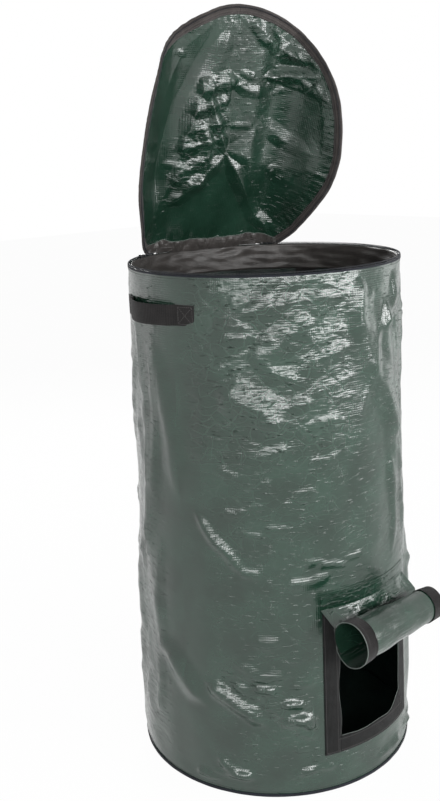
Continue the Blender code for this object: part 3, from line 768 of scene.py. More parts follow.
def makeWindowTapes():
    outer = windowHalf(window["bottom"]) + math.degrees(window["tapeWidth"] / bag["baseRadius"])
    tapeBottom = window["bottom"] - window["tapeWidth"]
    wave = window["edgeWave"]

    def innerLeft(height):
        return wave * (0.5 + 0.5 * np.sin(height * 62 + 0.6)) + 0.1 - windowHalf(height)

    def innerRight(height):
        return windowHalf(height) - 0.1 - wave * (0.5 + 0.5 * np.sin(height * 48 + 2.0))

    def innerBottom(azimuth):
        wavy = 1.3 * mm * (1 + np.sin(azimuth * 0.33 + 1.0))
        return wavy + window["cornerRise"] * smooth((azimuth - 5) / 13) ** 2

    edges = {"Left": (lambda height: 0 * height - outer, innerLeft),
             "Right": (innerRight, lambda height: 0 * height + outer)}
    for name, (low, high) in edges.items():
        wallStrip(f"windowTape{name}", (low, high), (tapeBottom - 0.3 * mm, trim["tapeTop"]),
                  window["tapeStandoff"], (8, 70), (hookTape,),
                  [f"window_tape_{name.lower()}"], 1.0 * mm, 0.35 * mm)
    ends = (lambda height: -windowHalf(height) + 0.1, lambda height: windowHalf(height) - 0.1)
    wallStrip("windowTapeBottom", ends, (tapeBottom, window["bottom"]), window["tapeStandoff"], (60, 8),
              (hookTape,), ["window_tape_bottom"], 1.0 * mm, 0.35 * mm, topEdge=innerBottom)
    lowHalf = float(windowHalf(window["bottom"]))
    upright = np.linspace(window["bottom"] + 2 * mm, 0.280, 60)
    level = np.linspace(1.0 - lowHalf, lowHalf - 1.0, 60)
    proud = 0.9 * mm
    routes = [wallPoint(innerLeft(upright), upright, proud), wallPoint(innerRight(upright), upright, proud),
              wallPoint(level, window["bottom"] + innerBottom(level), proud)]
    # Thin pale tubes along the opening's edges, a painted highlight on the cut edges
    rim = tubeMesh("windowEdges", routes, 0.45 * mm, 1)
    finishPiece("windowEdges", rim, (paleEdgePaintedHighlight,), [], "bag")

    onTape = window["tapeStandoff"] + 1.3 * mm
    inner = lowHalf + trim["seamInset"]
    outerSeam = outer - trim["seamInset"]
    seams = []
    heights = (tapeBottom + 3 * mm, trim["tapeTop"] - 2 * mm)
    for side in (-1, 1):
        for azimuth in (side * inner, side * outerSeam):
            seams.append(stitchLine((azimuth, azimuth), heights, onTape))
    seams.append(stitchLine((-outerSeam, outerSeam), (tapeBottom + 3 * mm,) * 2, onTape))
    seams.append(stitchLine((-inner, inner), (window["bottom"] - 3 * mm,) * 2, onTape))
    sewSeams("windowStitches", seams, greyThread)


def makeEdgeSeams():
    rimSeam = stitchLine(wholeTurn, (trim["rimSeam"],) * 2, 0.2 * mm, 400)
    sewSeams("rimStitches", [rimSeam], blackThread)
    baseSeam = stitchLine(wholeTurn, (trim["baseSeam"],) * 2, 0.1 * mm, 400)
    sewSeams("baseStitches", [baseSeam], blackThread)


floorCloth = {"inset": 0.4 * mm, "lift": 0.7 * mm, "puff": 1.5 * mm, "puffsPerMetre": 22.0, "flatEdge": 0.02}


def makeFloor():
    radius = bag["baseRadius"] - floorCloth["inset"]

    def spread(across, along):
        u, v = 2 * across - 1, 2 * along - 1
        return radius * u * np.sqrt(1 - v * v / 2), radius * v * np.sqrt(1 - u * u / 2)

    def place(across, along):
        x, y = spread(across, along)
        flat = np.column_stack((x, y, 0 * x))
        puffs = floorCloth["puff"] * np.abs(noiseAt(flat, floorCloth["puffsPerMetre"], 6))
        rise = puffs * smooth((radius - np.hypot(x, y)) / floorCloth["flatEdge"])
        return np.column_stack((x, y, floorCloth["lift"] + rise))

    shape = gridSheet(72, 72, place, spread)[0]
    # The floor disc inside the bag takes the darker inner colour, a painted shade
    floor = finishPiece("bagFloor", shape, (clothInsidePaintedShade,), ["floor_disc"], "bag",
                        bag["clothThickness"])


wall = makeWall()
makeBands()
makeWindowTapes()
makeEdgeSeams()
makeFloor()


print("window flap")

flap = {"width": 0.188, "panel": 0.026, "count": 8, "seamTop": 0.325, "seamBottom": 0.303, "taper": 4.5 * mm,
        "band": 0.023, "thickness": 0.6 * mm, "bandThickness": 0.8 * mm, "bend": 0.012, "sag": 0.8 * mm,
        "drift": 12 * mm, "curl": 0.040}
wallSlope = math.atan2(bag["baseRadius"] - bag["rimRadius"], bag["height"])


def flapJoint(index):
    return "flap_unroll" if index == 1 else f"flap_unroll_{index}"


def flapTurned(index):
    # How far a panel of the resting roll has turned from hanging straight down
    turns = [joints[flapJoint(step)]["range_deg"][1] for step in range(1, index + 1)]
    return -wallSlope - sum(math.radians(turn) for turn in turns)


def downCloth(turned):
    return np.column_stack((0 * turned, np.sin(turned), -np.cos(turned)))


def tapedSide(turned):
    return np.column_stack((0 * turned, np.cos(turned), np.sin(turned)))


def flapStrip(index, edges, level, counts, thickness, finishes, name, nodes):
    # Cloth from the middle of one panel to the middle of the next, rolled round the joint between them
    pivot = np.array(joints[flapJoint(index)]["pos_m"], float)
    first, last = np.array([flapTurned(index - 1)]), np.array([flapTurned(index)])
    half = flap["panel"] / 2
    radius = half / math.tan((first[0] - last[0]) / 2)
    centre = pivot - half * downCloth(first)[0] - radius * tapedSide(first)[0]
    tail = half - 0.3 * mm if index == flap["count"] else 0.0
    travelled = (index - 1) * flap["panel"]

    def spread(across, along):
        return edges[0] + (edges[1] - edges[0]) * across, (2 * half + tail) * along - half

    def place(across, along):
        x, drop = spread(across, along)
        turned = first + (last - first) * np.clip((drop + half) / flap["panel"], 0, 1)
        beyond = np.maximum(drop - half, 0)
        begun = smooth((travelled + drop) / 0.020)
        cloth = np.column_stack((x, travelled + drop, 0 * x))
        sag = flap["sag"] * 2 * noiseAt(cloth, (30.0, 38.0, 1.0), 11) * begun
        tilt = -flap["taper"] * x / (flap["width"] / 2) * begun
        lift = radius + 0.5 * mm + level + sag + tilt - beyond ** 2 / (2 * flap["curl"])
        sideways = x - flap["drift"] * smooth((travelled + drop) / 0.050)
        return (centre + np.outer(sideways, (1.0, 0.0, 0.0)) + tapedSide(turned) * lift[:, None]
                + downCloth(turned) * beyond[:, None])

    def cut(across, along):
        x, drop = spread(across, along)
        return x, -travelled - drop

    def follow(piece):
        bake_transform(piece)
        return piece

    shape, across, along = gridSheet(*counts, place, cut)
    addCrumple(shape, 0.35)
    normals = doubleLayer(shape, surfaceNormals(place, across, along), thickness)
    if "Left" in name:
        # A thin pale tube along the left edge, a painted highlight on the cut edge
        edge = np.linspace(0, 1, 14)
        mesh = tubeMesh("edge", [place(0 * edge, edge)], 0.55 * mm, 1)
        follow(finishPiece(name.replace("Band", "Edge"), mesh, (paleEdgePaintedHighlight,), []))
    return follow(finishPiece(name, shape, finishes, nodes, normals=normals))


def makeFlap():
    half = flap["width"] / 2
    pivot = np.array(joints["flap_unroll"]["pos_m"], float)
    level = np.array([flapTurned(0)])
    down, taped = downCloth(level)[0], tapedSide(level)[0]
    seamAngle = math.degrees(math.asin(half / wallRadius(flap["seamTop"])))
    joinDrop = flap["panel"] / 2

    def place(across, along):
        # Sewn flat to the wall along its upper part, then drawn out to the straight start of the roll
        x = (across - 0.5) * flap["width"]
        drawn = pivot + np.outer(x, (1.0, 0.0, 0.0)) - down * joinDrop + 0.5 * mm * taped
        upper = np.clip((along - 0.5) * 2, 0, 1)
        sewnHeight = flap["seamBottom"] + (flap["seamTop"] - flap["seamBottom"]) * upper
        sewn = wallPoint((across - 0.5) * 2 * seamAngle, sewnHeight, 0.5 * mm)
        share = smooth(1 - np.clip(along * 2, 0, 1))
        between = sewn + (drawn - sewn) * share[:, None]
        gather = 3.0 * mm * noiseAt(np.column_stack((x, 0 * x, between[:, 2])), (60.0, 1.0, 30.0), 12)
        fade = share * (1 - share) * 4
        return between - np.outer(gather * fade, (0.0, 1.0, 0.0))

    def cut(across, along):
        return (across - 0.5) * flap["width"], -0.042 * along

    shape, across, along = gridSheet(80, 26, place, cut)
    addCrumple(shape, 0.9)
    normals = doubleLayer(shape, surfaceNormals(place, across, along, 2e-3), 0.4 * mm)
    # The header's back face takes the darker underside colour, a painted shade
    header = finishPiece("flapHeader", shape, (clothOutside, clothUndersidePaintedShade), ["flap_header"],
                         "bag", normals=normals)
    seamEnds = (-seamAngle + 0.8, seamAngle - 0.8)
    seams = [stitchLine(seamEnds, (level,) * 2, 0.9 * mm) for level in (0.3205, 0.3085)]
    sewSeams("flapSeamStitches", seams, blackThread)

    over = 1.3 * mm
    for index in range(1, flap["count"] + 1):
        longer = index == flap["count"]
        rows = 18 if longer else 12
        # The back face of each strip takes the darker underside colour, a painted shade
        strip = flapStrip(index, (-half, half), 0.0, (64, rows), flap["thickness"],
                          (clothOutside, clothUndersidePaintedShade), f"flapStrip{index}",
                          [f"flap_panel_{index}"])
        if longer:
            flapStrip(index, (-half, half), over, (64, rows), flap["bandThickness"], (loopTape, loopTape),
                      "flapBandBottom", ["flap_tape_bottom"])
            continue
        for side, name in ((-1, "left"), (1, "right")):
            edges = sorted((side * half, side * (half - flap["band"])))
            flapStrip(index, edges, over, (10, rows), flap["bandThickness"], (loopTape, loopTape),
                      f"flapBand{name.capitalize()}{index}", [f"flap_tape_{name}_{index}"])


makeFlap()


print("lid")

lid = {"radius": 0.221, "centre": 0.179, "foot": 1.5 * mm, "thickness": 0.6 * mm, "bindingWidth": 0.014,
       "bendInside": 0.055, "bendOutside": 0.050, "edgeWave": 1.2 * mm, "swell": 4.0 * mm,
       "crinkle": 1.5 * mm, "fineCrinkle": 0.6 * mm, "footGather": 2.5 * mm, "tick": 1.3 * mm, "seed": 8,
       "hemHeight": 0.010, "hemDrop": 0.010}
# How far the soft edge is pulled in, in mm, at an angle round the lid's middle
lidEdge = ((-60, 0), (-35, 8), (-24, 8), (-9, -4), (2, 2), (18, 1), (35, 4), (46, 16), (57, 25), (69, 20),
           (81, 10), (89, 9), (100, 11), (115, 13), (127, 12), (138, 8), (148, 1), (160, 3), (174, 2),
           (188, -1), (209, 5), (219, 1), (229, -6), (240, -6))
# The dark valley down the left, and the crushed line under the upper edge
lidValley = [(0.036, 0.364), (0.053, 0.322), (0.080, 0.246), (0.102, 0.142), (0.107, 0.060)]
lidUpperLine = [(-0.014, 0.380), (-0.060, 0.340), (-0.100, 0.316), (-0.159, 0.312)]
# Folds on the underside: tilt towards the viewer in degrees, flank in mm, then (across, along) in metres
lidFolds = [
    (-20, 26, lidValley),
    (16, 17, [(0.010, 0.365), (0.020, 0.322), (0.045, 0.246), (0.070, 0.170)]),
    (23, 10, [(0.033, 0.278), (0.028, 0.242), (0.001, 0.184), (-0.009, 0.162)]),
    (24, 15, [(-0.011, 0.157), (-0.038, 0.117), (-0.088, 0.042), (-0.137, 0.008)]),
    (22, 15, [(-0.011, 0.157), (0.040, 0.108), (0.088, 0.071)]),
    (26, 12, [(-0.060, 0.281), (-0.110, 0.285), (-0.163, 0.294)]),
    (-14, 14, [(-0.066, 0.296), (-0.110, 0.300), (-0.160, 0.309)]),
    (17, 12, [(-0.150, 0.283), (-0.182, 0.258)]),
    (19, 12, lidUpperLine),
    (15, 10, [(0.004, 0.284), (-0.030, 0.262), (-0.072, 0.255)]),
    (13, 10, [(0.046, 0.215), (0.024, 0.176), (0.030, 0.120)]),
    (10, 15, [(-0.060, 0.215), (-0.115, 0.180), (-0.170, 0.170)]),
    (9, 14, [(-0.090, 0.130), (-0.150, 0.110)]),
    (6, 60, [(-0.010, 0.165), (-0.100, 0.132), (-0.205, 0.150)]),
]
lidHinge = np.array(joints["lid_hinge"]["pos_m"], float)
lidAcross = -np.array(joints["lid_hinge"]["axis"], float)
lidAlong = -np.array(joints["lid_left_fold"]["axis"], float)
lidAway = np.cross(lidAcross, lidAlong)

# Places on the underside: pleated and glinting, the wedge below the side fold, and smooth and dark
lidPleats = [(0.043, 0.284), (0.004, 0.284), (-0.009, 0.157), (0.033, 0.155), (0.026, 0.102), (0.080, 0.104),
             (0.051, 0.222)]
lidWedge = [(-0.159, 0.293), (-0.179, 0.262), (-0.112, 0.271), (-0.070, 0.281)]
lidSmooth = [(-0.013, 0.146), (0.084, 0.066), (0.090, 0.012), (-0.130, 0.012), (-0.085, 0.040),
             (-0.040, 0.110)]
# Broad pleats one above the other, leaning away to one side as they rise
broadPleats = {"count": 6, "heights": (0.112, 0.270), "start": (0.052, 0.105), "lean": 0.19,
               "reaches": (-0.034, 0.0, 0.036), "tilts": (16, 20), "widths": (15, 18)}
lidCrushed = [
    {"count": 5, "outline": lidWedge, "lengths": (0.014, 0.035), "tilts": (18, 24), "widths": (5, 8),
     "directions": (-20, 20)},
    {"count": 9, "outline": [(-0.014, 0.392), (-0.060, 0.352), (-0.100, 0.328), (-0.165, 0.318),
                             (-0.150, 0.300), (-0.095, 0.300), (-0.020, 0.365)],
     "lengths": (0.014, 0.040), "tilts": (16, 24), "widths": (6, 10), "directions": (-40, 40)},
    {"count": 12, "outline": [(-0.020, 0.350), (0.170, 0.320), (0.190, 0.100), (0.110, 0.020), (0.030, 0.120),
                              (-0.060, 0.120), (-0.150, 0.040), (-0.200, 0.200), (-0.140, 0.280)],
     "lengths": (0.014, 0.050), "tilts": (8, 16), "widths": (4, 8), "directions": (-24, 24)},
]
random = np.random.default_rng(lid["seed"])
lidCreases = []
for along in np.linspace(*broadPleats["heights"], broadPleats["count"]):
    startAcross, startAlong = broadPleats["start"]
    middle = startAcross - broadPleats["lean"] * (along - startAlong) + random.uniform(-0.006, 0.006)
    slope = random.uniform(-0.6, 0.2)
    crest = [(middle + reach, along + slope * reach + random.uniform(-0.003, 0.003))
             for reach in broadPleats["reaches"]]
    tilt = random.uniform(*broadPleats["tilts"])
    lidCreases.append((tilt, random.uniform(*broadPleats["widths"]), crest))
for place in lidCrushed:
    lidCreases += scatterFolds(random, **place)


def lidCrumple(across, along):
    fromMiddle = np.hypot(across, along - lid["centre"])
    pleats = insideOutline(across, along, lidPleats, 0.012)
    wedge = insideOutline(across, along, lidWedge, 0.010)
    strip = smooth(1.8 - nearLine(across, along, lidUpperLine)[0] / 0.012)
    edge = 0.6 * within(fromMiddle, lid["radius"] - 0.034, lid["radius"] - 0.014, 0.010)
    foot = 0.9 * within(along, 0.0, 0.018, 0.014)
    upper = 0.5 * within(across, -0.060, 0.020, 0.030) * within(along, 0.275, 0.380, 0.030)
    lively = np.maximum.reduce([pleats, wedge, strip, edge, foot, upper, np.full(across.shape, 0.28)])
    valley = smooth(1.7 - nearLine(across, along, lidValley)[0] / 0.013)
    return lively * (1 - 0.85 * valley) * (1 - 0.80 * insideOutline(across, along, lidSmooth, 0.008))


def lidRelief(across, along):
    # Towards the viewer, who sees the underside
    points = np.column_stack((across, along, 0 * across))
    fromMiddle = np.hypot(across, along - lid["centre"])
    inner = smooth((lid["radius"] - 0.010 - fromMiddle) / 0.035)
    crumple = lidCrumple(across, along)
    crinkle = lid["crinkle"] * crumple * np.abs(noiseAt(points, (24.0, 32.0, 1.0), 21)) * 2
    fine = lid["fineCrinkle"] * crumple * np.abs(noiseAt(points, (50.0, 72.0, 1.0), 22)) * 2
    swell = lid["swell"] * noiseAt(points, 7.0, 23) * smooth(along / 0.05)
    gather = lid["footGather"] * noiseAt(points, (75.0, 28.0, 1.0), 24) * within(along, 0.004, 0.020, 0.016)
    named = foldRelief(across, along, lidFolds + lidCreases)
    turned = np.degrees(np.arctan2(along - lid["centre"], across))
    ticks = lid["tick"] * noiseAt(np.column_stack((turned * 0.42, fromMiddle * 14, 0 * turned)), 1.0, 26)
    ticks = ticks * within(fromMiddle, lid["radius"] - 0.030, lid["radius"] - 0.016, 0.008)
    return inner * (named + crinkle + fine + swell) + gather * smooth(inner * 3) + ticks


def lidEdgeRadius(angle):
    places, insets = np.array(lidEdge).T
    smoothed = sum(np.interp(angle + shift, places, insets) for shift in (-8, -4, 0, 4, 8)) / 5
    return lid["radius"] - smoothed * mm


def lidSide(side):
    name = "lid_left_fold" if side > 0 else "lid_right_fold"
    pivot = np.array(joints[name]["pos_m"], float)
    return name, pivot - side * lid["bendInside"] * lidAcross, pivot + side * lid["bendOutside"] * lidAcross


def lidPlace(side, across, along, proud):
    # Lid cloth in its curled resting shape; proud is the distance from the cloth towards the viewer
    name, start, end = lidSide(side)
    flat = (lidHinge + np.outer(across, lidAcross) + np.outer(along, lidAlong)
            - np.outer(lidRelief(across, along) + proud, lidAway))
    return bendRound(flat, name, start, end)


def lidBlend(piece, side):
    name, start, end = lidSide(side)
    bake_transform(piece)
    return piece


def halfName(side):
    return "Left" if side > 0 else "Right"


def makeLidCloth(side):
    def spread(across, along):
        u = across if side > 0 else across - 1
        v = 2 * along - 1
        x, y = u * np.sqrt(1 - v * v / 2), v * np.sqrt(1 - u * u / 2)
        angle = np.degrees(np.arctan2(y, x))
        angle = np.where(angle < -90, angle + 360, angle)
        reach = lidEdgeRadius(angle) - 1.4 * mm
        return x * reach, lid["centre"] + y * reach

    def flatPlace(across, along):
        s, h = spread(across, along)
        return np.column_stack((s, h, 0 * s))

    shape = gridSheet(88, 160, flatPlace, spread)[0]
    bmesh.ops.bisect_plane(shape, geom=shape.verts[:] + shape.edges[:] + shape.faces[:], dist=0.001 * mm,
                           plane_co=(0, lid["foot"], 0), plane_no=(0, 1, 0), clear_inner=True)
    s = np.array([vertex.co.x for vertex in shape.verts])
    h = np.array([vertex.co.y for vertex in shape.verts])
    addCrumple(shape, lidCrumple(s, h))

    def place(across, along):
        return lidPlace(side, across, along, 0.0)

    for vertex, point in zip(shape.verts, place(s, h)):
        vertex.co = point
    normals = doubleLayer(shape, surfaceNormals(place, s, h, 0.8 * mm), lid["thickness"])
    nodes = ["lid_middle_panel", "lid_left_panel" if side > 0 else "lid_right_panel"]
    # The lid's underside takes the darker underside colour, a painted shade
    piece = finishPiece(f"lidCloth{halfName(side)}", shape, (clothOutside, clothUndersidePaintedShade),
                        nodes, normals=normals)
    return lidBlend(piece, side)


# The folded tape round the edge, as (distance in from the edge, height) of its closed section
bindingSection = ((14.0, 1.1), (8.0, 1.4), (2.0, 1.5), (0.0, 0.8), (0.0, -0.8), (2.0, -1.5), (8.0, -1.4),
                  (14.0, -1.1))


def lidArc(side):
    foot = math.degrees(math.asin((lid["foot"] - lid["centre"]) / (lid["radius"] - lid["bindingWidth"])))
    return (foot, 90.0) if side > 0 else (90.0, 180.0 - foot)


def makeLidBinding(side):
    first, last = lidArc(side)
    sections = np.array(bindingSection + (bindingSection[0],)) * mm
    rows = len(bindingSection)

    def spread(across, along):
        inward, height = (np.interp(along * rows, range(rows + 1), line) for line in sections.T)
        return first + (last - first) * across, inward, height

    def place(across, along):
        angle, inward, height = spread(across, along)
        turned = np.radians(angle)
        rim = np.column_stack((np.cos(turned), np.sin(turned), 0 * turned)) * lid["radius"]
        pucker = noiseAt(rim, 75.0, 31)
        inset = inward * (1 + 0.10 * noiseAt(rim, 38.0, 32))
        reach = lidEdgeRadius(angle) - inset + lid["edgeWave"] * pucker * 0.5
        s, h = reach * np.cos(turned), lid["centre"] + reach * np.sin(turned)
        lift = height * (1 + 0.5 * np.abs(noiseAt(rim, 110.0, 33)))
        return lidPlace(side, s, h, lift + lid["edgeWave"] * 0.6 * pucker * smooth(inward / 0.010))

    def cut(across, along):
        return np.radians(spread(across, along)[0]) * lid["radius"], 0.004 * along * rows

    shape = gridSheet(190, rows, place, cut)[0]
    bmesh.ops.remove_doubles(shape, verts=shape.verts, dist=0.01 * mm)
    bmesh.ops.holes_fill(shape, edges=[edge for edge in shape.edges if edge.is_boundary], sides=0)
    bmesh.ops.recalc_face_normals(shape, faces=shape.faces)
    nodes = ["lid_middle_binding", "lid_left_binding" if side > 0 else "lid_right_binding"]
    piece = finishPiece(f"lidBinding{halfName(side)}", shape, (bindingTape,), nodes)
    return lidBlend(piece, side)


def lidRoute(side, inward, proud, footGap=0.0):
    first, last = lidArc(side)
    angle = np.linspace(first + (footGap if side > 0 else 0), last - (0 if side > 0 else footGap), 160)
    reach = lidEdgeRadius(angle) - inward
    turned = np.radians(angle)
    return lidPlace(side, reach * np.cos(turned), lid["centre"] + reach * np.sin(turned), proud)


lidSeam = {"stitchInset": 12.0 * mm, "stitchProud": 1.75 * mm, "coilInset": 3.6 * mm, "coilProud": 2.9 * mm,
           "coilFootGap": 1.0}
zipCoil = {"radius": 1.05 * mm, "wire": 0.38 * mm, "pitch": 2.0 * mm, "pointsPerTurn": 7,
           "side": (0.0, 0.0, 1.0)}
# The zip round the rim, by azimuth, and how many degrees along it the slider rests
zipLine = {"radius": 0.2084, "height": 0.8017, "from": 198.0, "to": 496.0, "slider": 10.0, "stopGap": 0.63}


def makeLidSeams(side):
    routes = [lidRoute(side, lidSeam["stitchInset"], face * lidSeam["stitchProud"]) for face in (1, -1)]
    lidBlend(sewSeams(f"lidStitches{halfName(side)}", routes, greyThread, None), side)
    route = lidRoute(side, lidSeam["coilInset"], lidSeam["coilProud"], lidSeam["coilFootGap"])
    mesh = tubeMesh("lidCoil", [coilRoute(route, dict(zipCoil, side=tuple(lidAway)))], zipCoil["wire"])
    nodes = ["lid_middle_zip_coil", "lid_left_zip_coil" if side > 0 else "lid_right_zip_coil"]
    lidBlend(finishPiece(f"lidCoil{halfName(side)}", mesh, (nylonCoil,), nodes), side)


# The gathered hem along the foot, and the place to the left of the middle where it bunches most
hem = {"left": 0.129, "right": 0.135, "proud": 1.3 * mm, "crush": 2.0 * mm, "bunchAt": 0.088,
       "bunchWidth": 0.016, "thickness": 0.6 * mm}


def makeLidHem(side):
    # It covers the raw edge of the lid's cloth
    reach = hem["left"] if side > 0 else hem["right"]

    def place(across, along):
        s = reach * across if side > 0 else reach * (across - 1)
        flat = np.column_stack((s, along * lid["hemHeight"], 0 * s))
        bunched = 1 + 1.5 * np.exp(-((s - hem["bunchAt"]) / hem["bunchWidth"]) ** 2)
        top = lid["hemHeight"] * (1 + 0.45 * noiseAt(flat, (42.0, 1.0, 1.0), 43) * bunched)
        crush = hem["crush"] * bunched * np.abs(noiseAt(flat, (95.0, 60.0, 1.0), 44)) * 2
        proud = hem["proud"] + crush * np.sin(math.pi * np.clip(along * 0.9 + 0.05, 0, 1))
        return lidPlace(side, s, along * (top + lid["hemDrop"]) - lid["hemDrop"], proud)

    shape, across, along = gridSheet(100, 10, place, lambda across, along: (across * reach, along * 0.018))
    normals = doubleLayer(shape, surfaceNormals(place, across, along, 4e-3), hem["thickness"])
    piece = finishPiece(f"lidHem{halfName(side)}", shape, (hemCloth, hemCloth), [],
                        normals=normals)
    lidBlend(piece, side)
    # A thin pale tube along the hem's top edge, a painted highlight on the film's edge
    edge = np.linspace(0.01, 0.99, 90)
    mesh = tubeMesh("edge", [place(edge, 1 + 0 * edge)], 0.45 * mm, 1)
    lidBlend(finishPiece(f"lidHemEdge{halfName(side)}", mesh, (paleEdgePaintedHighlight,), []), side)


piping = {"half": 0.105, "radius": 1.1 * mm, "wander": 0.35 * mm}
# The rolled seam between the piping and the rim: a strip from the rim to the chord of the hinge
hingeSeam = {"azimuth": 167.0, "inset": 0.8 * mm, "chord": 0.1845, "bottom": 0.8006, "rise": 7.4 * mm,
             "roll": 3.6 * mm, "crush": 3.2 * mm, "deepest": -1.5 * mm}


def makeHingePiping():
    across = np.linspace(-piping["half"], piping["half"], 80)
    wander = piping["wander"] * noiseAt(np.column_stack((across, 0 * across, 0 * across)), 60.0, 41)
    route = lidHinge + np.outer(across, lidAcross) + np.outer(wander, lidAlong)
    finishPiece("hingePiping", tubeMesh("hingePiping", [route], piping["radius"], 2), (bindingTape,),
                ["lid_hinge_piping"], "lid")


def makeHingeSeam():
    azimuth = math.radians(hingeSeam["azimuth"])
    outerReach, chord = bag["rimRadius"] - hingeSeam["inset"], hingeSeam["chord"]
    half = math.degrees(math.acos(chord / outerReach))

    def place(across, along):
        turned = np.radians((across * 2 - 1) * half)
        outerX, outerY = outerReach * np.sin(turned), outerReach * np.cos(turned)
        innerX = (across * 2 - 1) * outerReach * math.sin(math.radians(half))
        x, y = outerX + (innerX - outerX) * along, outerY + (chord - outerY) * along
        flat = np.column_stack((x, y, 0 * x))
        ends = smooth(np.minimum(across, 1 - across) / 0.08)
        roll = hingeSeam["roll"] * np.sin(math.pi * along) * ends
        bunched = 1 - np.abs(noiseAt(flat, (85.0, 50.0, 1.0), 42)) * 2
        crush = hingeSeam["crush"] * bunched * np.sin(math.pi * along) * ends
        height = hingeSeam["bottom"] + hingeSeam["rise"] * along + roll
        height += np.maximum(crush, hingeSeam["deepest"])
        outward = np.array((math.sin(azimuth), -math.cos(azimuth), 0.0))
        sideways = np.array((math.cos(azimuth), math.sin(azimuth), 0.0))
        return np.outer(y, outward) + np.outer(x, sideways) + np.outer(height, upward)

    shape = gridSheet(110, 16, place, lambda across, along: (across * 0.2, along * 0.03))[0]
    bmesh.ops.remove_doubles(shape, verts=shape.verts, dist=0.01 * mm)
    seam = finishPiece("hingeSeam", shape, (hemCloth,), ["lid_hinge_seam"], "bag", 0.8 * mm)


makeHingePiping()
makeHingeSeam()
for side in (1, -1):
    makeLidBinding(side)
    makeLidCloth(side)
    makeLidSeams(side)
    makeLidHem(side)


print("zip and handles")


def makeZip():
    first, last = zipLine["from"], zipLine["to"]
    route = around(zipLine["radius"], np.linspace(first, last, 500), zipLine["height"])
    finishPiece("rimCoil", tubeMesh("rimCoil", [coilRoute(route, zipCoil)], zipCoil["wire"]), (nylonCoil,),
                ["rim_zip_coil"], "bag")

    turn = Matrix.Rotation(math.radians(first + zipLine["slider"]), 4, "Z")
    slider = bmesh.new()

    def block(low, high, bevel, narrow=1.0):
        size = Vector(high) - Vector(low)
        middle = (Vector(high) + Vector(low)) / 2
        box = Matrix.Translation(middle) @ Matrix.Diagonal((*size, 1.0))
        made = bmesh.ops.create_cube(slider, size=1.0, matrix=box)["verts"]
        for vertex in made:
            if vertex.co.x > middle.x:  # the nose is narrower than the tail
                vertex.co.z = middle.z + (vertex.co.z - middle.z) * narrow
        roundEdges(slider, {edge for vertex in made for edge in vertex.link_edges}, bevel, 2)

    # Outer and inner plate, the bridge between them, and the two lugs with the pin that carry the pull
    bottom, top, plateHalf, bridgeHalf = 0.7940, 0.8045, 5.5 * mm, 2.6 * mm
    block((-plateHalf, -0.2112, bottom), (plateHalf, -0.2101, top), 0.35 * mm, 0.72)
    block((-plateHalf, -0.2062, bottom), (plateHalf, -0.2052, top), 0.30 * mm, 0.72)
    block((-bridgeHalf, -0.2112, 0.8034), (bridgeHalf, -0.2052, 0.8046), 0.35 * mm)
    for side in (-1, 1):
        low, high = sorted((side * 3.3 * mm, side * 4.5 * mm))
        block((low, -0.2150, 0.7954), (high, -0.2108, 0.7986), 0.40 * mm)
    hinge = Matrix.Translation((0, -0.2140, 0.797))
    bmesh.ops.create_cone(slider, cap_ends=True, segments=14, radius1=0.65 * mm, radius2=0.65 * mm,
                          depth=8.2 * mm, matrix=hinge @ Matrix.Rotation(math.pi / 2, 4, "Y"))
    bmesh.ops.transform(slider, matrix=turn, verts=slider.verts)
    piece = finishPiece("zipSlider", slider, (paintedZinc,), ["zip_slider"], "slider")
    piece.data.set_sharp_from_angle(angle=math.radians(35))

    # Blade narrowed towards the pin, with a raised field on both sides and a wire ring at its top
    pull = bmesh.new()
    middle = -13.6 * mm
    box = Matrix.Translation((0, 0, middle)) @ Matrix.Diagonal((6.0 * mm, 1.3 * mm, 23.5 * mm, 1.0))
    for vertex in bmesh.ops.create_cube(pull, size=1.0, matrix=box)["verts"]:
        if vertex.co.z > middle:
            vertex.co.x *= 0.62
    roundEdges(pull, [edge for edge in pull.edges if abs(edge.verts[0].co.y - edge.verts[1].co.y) > mm],
               1.3 * mm, 4)
    broad = [face for face in pull.faces if abs(face.normal.y) > 0.9]
    bmesh.ops.inset_individual(pull, faces=broad, thickness=0.7 * mm, depth=-0.25 * mm)
    wire = (0, 0, 1.75 * mm)
    standing = Matrix.Translation(wire) @ Matrix.Rotation(math.pi / 2, 4, "X")
    ring = bmesh.ops.create_circle(pull, segments=10, radius=0.65 * mm, matrix=standing)["verts"]
    bmesh.ops.rotate(pull, verts=ring, cent=wire, matrix=Matrix.Rotation(math.pi / 2, 3, "Z"))
    edges = list({edge for vertex in ring for edge in vertex.link_edges})
    bmesh.ops.spin(pull, geom=ring + edges, cent=(0, 0, 0), axis=(1, 0, 0), angle=2 * math.pi, steps=20,
                   use_merge=True)
    bmesh.ops.recalc_face_normals(pull, faces=pull.faces)
    bmesh.ops.transform(pull, matrix=turn @ hinge, verts=pull.verts)
    piece = finishPiece("pullTab", pull, (paintedZinc,), ["zip_pull_tab"], "pull")
    piece.data.set_sharp_from_angle(angle=math.radians(35))

    stops = bmesh.new()
    onLine = Matrix.Translation((0, -zipLine["radius"], zipLine["height"]))
    for azimuth in (first - zipLine["stopGap"], last + zipLine["stopGap"]):
        place = Matrix.Rotation(math.radians(azimuth), 4, "Z") @ onLine
        size = Matrix.Diagonal((4.0 * mm, 2.8 * mm, 2.8 * mm, 1.0))
        made = bmesh.ops.create_cube(stops, size=1.0, matrix=place @ size)["verts"]
        roundEdges(stops, {edge for vertex in made for edge in vertex.link_edges}, 0.5 * mm, 3)
    finishPiece("zipStops", stops, (paintedZinc,), ["zip_stop_start", "zip_stop_end"], "bag")


